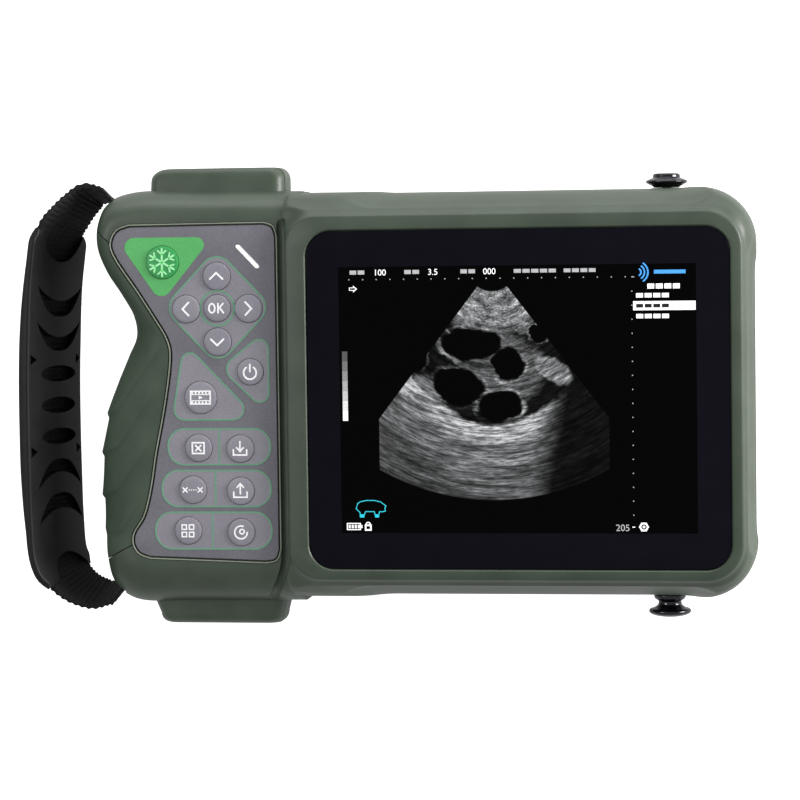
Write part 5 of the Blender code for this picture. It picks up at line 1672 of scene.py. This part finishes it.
def build_pad():
    """Rubber sleeve: shaped flat, slotted, then bent along the strap."""
    low, high = PAD_Y
    inner_stops = [low + (high - low) * i / PAD_STEPS for i in range(1, PAD_STEPS)]
    stops = [low, low + 0.4, low + 0.8] + inner_stops + [high - 0.8, high - 0.4, high]
    pad = loft("pad_sleeve", [pad_ring(y) for y in stops], SOFT_BLACK)
    openings = {name: crescent(*arch) for name, arch in PAD_ARCHES.items()}
    openings.update({name: ellipse(*shape) for name, shape in PAD_OVALS.items()})
    for row, y in (("upper", 12.4), ("lower", -18.0)):
        for side, v, reach in (("front", 12.2, 1.6), ("back", -12.9, 1.3)):
            openings[f"notch_{row}_{side}"] = [(v + reach, y - 1.8), (v + reach, y + 1.8), (v - reach, y)]
    cuts = [slab(f"cut_{name}", [outline], (-6.0, -0.5)) for name, outline in openings.items()]
    section = box_outline((-13.2, 13.2), (-0.85, 0.95), 0.3, 3)
    channel = loft("pad_channel", [[(p.x, y, p.y) for p in section] for y in (-90.0, *stops, 90.0)])
    combine(pad, "DIFFERENCE", channel, *cuts)
    settle(pad, channel, *cuts)
    shape = bmesh.new()
    shape.from_mesh(pad.data)
    bmesh.ops.triangulate(shape, faces=shape.faces)
    shape.to_mesh(pad.data)
    shape.free()
    bend_pad(pad)
    present(smooth(pad, 38.0), "hand_strap", "rubber_black", "hand_pad")


def bend_pad(pad):
    """Move each vertex of the flat pad to its place on the strap, by its y."""
    frames = strap_line(PAD_LINE_STEP)
    beside = [i for i, frame in enumerate(frames) if abs(frame[0].x) >= 117]
    for vertex in pad.data.vertices:
        v, y, t = vertex.co / MM
        index = min(beside, key=lambda i: abs(frames[i][0].y - y))
        other = index + 1 if frames[index][0].y > y and index + 1 < len(frames) else index - 1
        a, b = frames[index], frames[other]
        run = b[0].y - a[0].y
        share = (y - a[0].y) / run if abs(run) > 1e-6 else 0.0
        vertex.co = strap_spot(a, v, t).lerp(strap_spot(b, v, t), min(max(share, 0.0), 1.0)) * MM


def build_strap():
    for name in ("upper", "lower"):
        webbing(name)
        webbing_eye(name)
    build_pad()


# ---------------------------------------------------------------- studs, screws, feet and ports

def build_studs():
    seat = STUD_SEAT_SHOWN + 0.15
    for name, axis in (("upper", "Y"), ("lower", "-Y")):
        profile = STUD_HEADS[name] + [(1.4, seat), (1.4, 57.0), (0.0, 57.0)]
        stud = turned(f"stud_{name}", rounded(profile, 0.3), (STUD_X - 0.4, 0.0, STUD_Z), BLACK_METAL, axis, 64)
        present(smooth(stud), "scanner", "stud_black", f"strap_stud_{name}")


def build_fasteners():
    for i, (x, y) in enumerate(SCREWS, 1):
        screw = turned(f"screw_{i}", rounded(SCREW_SHAPE, 0.2), (x, y, 0.0), STEEL)
        cross = [block("cross_a", (x - 1.6, y - 0.35, 1.0), (x + 1.6, y + 0.35, 3.1)),
                 block("cross_b", (x - 0.35, y - 1.6, 1.0), (x + 0.35, y + 1.6, 3.1))]
        combine(screw, "DIFFERENCE", *cross)
        settle(screw, *cross)
        present(smooth(screw), "scanner", "steel", f"housing_screw_{i}")
    for i, (x, y) in enumerate(FEET, 1):
        foot = turned(f"rubber_foot_{i}", rounded(FOOT_SHAPE, 0.25), (x, y, 0.0), RUBBER)
        present(smooth(foot), "scanner", "rubber_black", f"foot_{i}")


def build_ports():
    build_probe_socket()
    thick = 1.6
    y, z = BOSS_BOTTOM + 0.2, PORT_Z[0]
    plate = block("flap_plate", (PORT_X[0], y, z), (PORT_X[1], y + thick, PORT_Z[1]), RUBBER, 0.5, 4)
    ribs = [block(f"flap_rib_{i}", (PORT_X[0] + 3.0, y - 0.35, z + 1.8 + 1.5 * i),
                  (PORT_X[1] - 3.0, y + 0.4, z + 2.4 + 1.5 * i), RUBBER, 0.15) for i in range(3)]
    combine(plate, "UNION", *ribs)
    settle(plate, *ribs)
    present(smooth(plate), "port_flap", "rubber_black", "port_flap")


def build_probe_socket():
    """Round socket with a ring of pins and a key, in the upper boss's end."""
    spot, top = (SOCKET_X, 0.0, SOCKET_Z), BOSS_TOP - 0.5
    profile = [(0.0, 70.4), (3.0, 70.4), (3.0, 68.6), (4.1, 68.6), (4.1, top), (SOCKET_RADIUS, top),
               (SOCKET_RADIUS, 67.0), (0.0, 67.0)]
    socket = turned("socket_shell", rounded(profile, 0.25), spot, BLACK_METAL, "Y", 64)
    present(smooth(socket), "scanner", "stud_black", "probe_socket")
    pin = [(0.0, 71.6), (0.3, 71.5), (0.38, 71.2), (0.38, 70.0), (0.0, 70.0)]
    pins = []
    for number, (x, z) in enumerate(ellipse((SOCKET_X, SOCKET_Z), 2.1, 2.1, 6) + [(SOCKET_X, SOCKET_Z)]):
        pins.append(turned(f"pin_{number}", pin, (x, 0.0, z), STEEL, "Y", 16))
    present(smooth(joined("socket_pins", pins, STEEL)), "scanner", "steel")
    key = block("socket_key", (SOCKET_X - 0.6, 69.5, SOCKET_Z + 3.2), (SOCKET_X + 0.6, 73.6, SOCKET_Z + 4.4),
                BLACK_METAL, 0.15)
    present(smooth(key), "scanner", "stud_black")


def build_battery_cover():
    """Hinged lid with a round hinge edge and a pad of ridges, and its coin lock."""
    left, right = COVER_X
    z, radius = REAR_Z + COVER_PLATE / 2, COVER_PLATE / 2
    free_end, corner = COVER_Y[0] - COVER_Y[1] + 0.4, radius - 0.4
    profile = arc((0.0, 0.0), radius, -90, 90, 12)
    profile += arc((free_end, corner), 0.4, 90, 180, 4) + arc((free_end, -corner), 0.4, 180, 270, 4)
    stops = [(left, 0.2), (left + 0.25, 0.0), (right - 0.25, 0.0), (right, 0.2)]
    rings = [[(x, COVER_Y[1] + p.x, z + p.y) for p in grow(profile, -inset)] for x, inset in stops]
    lid = loft("battery_lid", rings, GREEN)
    middle_x, lock_y = (left + right) / 2, COVER_Y[0] + 7.0
    hole = cylinder("lid_lock_hole", LOCK_RADIUS + GAP, -5.0, 8.0, (middle_x, lock_y, 0.0), sides=48)
    bore = cylinder("lid_bore", PIN_RADIUS + 0.1, left - 2, right + 2, (0.0, COVER_Y[1], z), axis="X")
    ribs = [block(f"lid_rib_{i}", (left + 8.0, 2.0 + 4.0 * i, REAR_Z - 0.4),
                  (right - 8.0, 3.4 + 4.0 * i, REAR_Z + 0.5), edge=0.18) for i in range(6)]
    combine(lid, "UNION", *ribs)
    combine(lid, "DIFFERENCE", hole, bore)
    settle(lid, hole, bore, *ribs)
    present(smooth(lid), "battery_cover", "housing_green", "battery_cover")

    top = REAR_Z + COVER_PLATE
    profile = [(0.0, top), (LOCK_RADIUS, top), (LOCK_RADIUS, REAR_Z), (3.2, REAR_Z), (3.0, REAR_Z + 0.2),
               (0.0, REAR_Z + 0.2)]
    lock = turned("coin_lock", rounded(profile, 0.15), (middle_x, lock_y, 0.0), STEEL)
    slot = block("coin_slot", (middle_x - 2.7, lock_y - 0.6, 0.0), (middle_x + 2.7, lock_y + 0.6, REAR_Z + 0.9))
    combine(lock, "DIFFERENCE", slot)
    settle(lock, slot)
    present(smooth(lock), "cover_lock", "steel", "cover_lock")


# ---------------------------------------------------------------- stage, lights and camera

def pale_floor():
    """Plain white sweep under the object."""
    nodes = Nodes("white_sweep")
    grain = nodes.noise(30.0, 3.0)
    nodes.set(Base_Color=nodes.mix(grain, (0.86, 0.86, 0.86, 1.0), (0.9, 0.9, 0.9, 1.0)), Roughness=0.9)
    seen = nodes.add("ShaderNodeLightPath").outputs["Is Camera Ray"]
    nodes.set(Emission_Color=nodes.mix(seen, (0.25, 0.25, 0.25, 1.0), (1.0, 1.0, 1.0, 1.0)))
    nodes.set(Emission_Strength=1.0)
    shape = bmesh.new()
    bmesh.ops.create_grid(shape, x_segments=1, y_segments=1, size=6.0)
    floor = add("floor", mesh_from(shape, "floor"), nodes.material)
    floor.location = (0.0, 0.0, 0.0)


def soft_light(name, place, size, power, tint=(1.0, 1.0, 1.0)):
    lamp = bpy.data.lights.new(name, "AREA")
    lamp.shape = "RECTANGLE"
    lamp.size, lamp.size_y = size
    lamp.energy = power
    lamp.color = tint
    item = bpy.data.objects.new(name, lamp)
    item.location = place
    item.rotation_euler = (ORIGIN + Vector((0.0, 0.0, 0.02)) - Vector(place)).to_track_quat("-Z", "Y").to_euler()
    bpy.context.scene.collection.objects.link(item)


def lights():
    soft_light("key_right", (1.2, 0.35, 0.13), (0.4, 0.9), 34.0, (1.0, 0.95, 0.95))
    soft_light("top_strip", (0.0, 1.2, 0.18), (1.4, 0.3), 6.5)
    soft_light("front_fill", (-0.75, 0.25, 1.0), (0.4, 0.4), 3.6)
    world = bpy.data.worlds.new("studio")
    world.use_nodes = True
    background = world.node_tree.nodes["Background"].inputs
    background["Color"].default_value = (1.0, 1.0, 1.0, 1.0)
    background["Strength"].default_value = 0.42
    bpy.context.scene.world = world


CAMERA_ANGLES = (8.82, 3.0, -0.759)
CAMERA_TARGET = (-5.87, -0.95, 37.8)
CAMERA_LENS = 139.76


def camera():
    """Long lens almost square on to the screen."""
    yaw, pitch, roll = map(math.radians, CAMERA_ANGLES)
    target = ORIGIN + Vector(CAMERA_TARGET) * MM
    back = Vector((math.sin(yaw) * math.cos(pitch), math.sin(pitch), math.cos(yaw) * math.cos(pitch)))
    right = (-back).cross(Vector((0.0, 1.0, 0.0))).normalized()
    up = right.cross(-back)
    turned_right = right * math.cos(roll) + up * math.sin(roll)
    turned_up = up * math.cos(roll) - right * math.sin(roll)
    eye = bpy.data.cameras.new("camera")
    eye.lens = CAMERA_LENS
    eye.sensor_width = 36.0
    item = bpy.data.objects.new("camera", eye)
    place = Matrix((turned_right, turned_up, back)).transposed().to_4x4()
    place.translation = target + back
    item.matrix_world = place
    bpy.context.scene.collection.objects.link(item)
    bpy.context.scene.camera = item
    bpy.context.scene.view_settings.view_transform = "Standard"


# ---------------------------------------------------------------- build

def main():
    build_shells()
    build_keypad()
    build_keys()
    build_display()
    build_strap()
    build_studs()
    build_fasteners()
    build_ports()
    build_battery_cover()
    repaint_frame()
    pale_floor()
    lights()
    camera()


main()
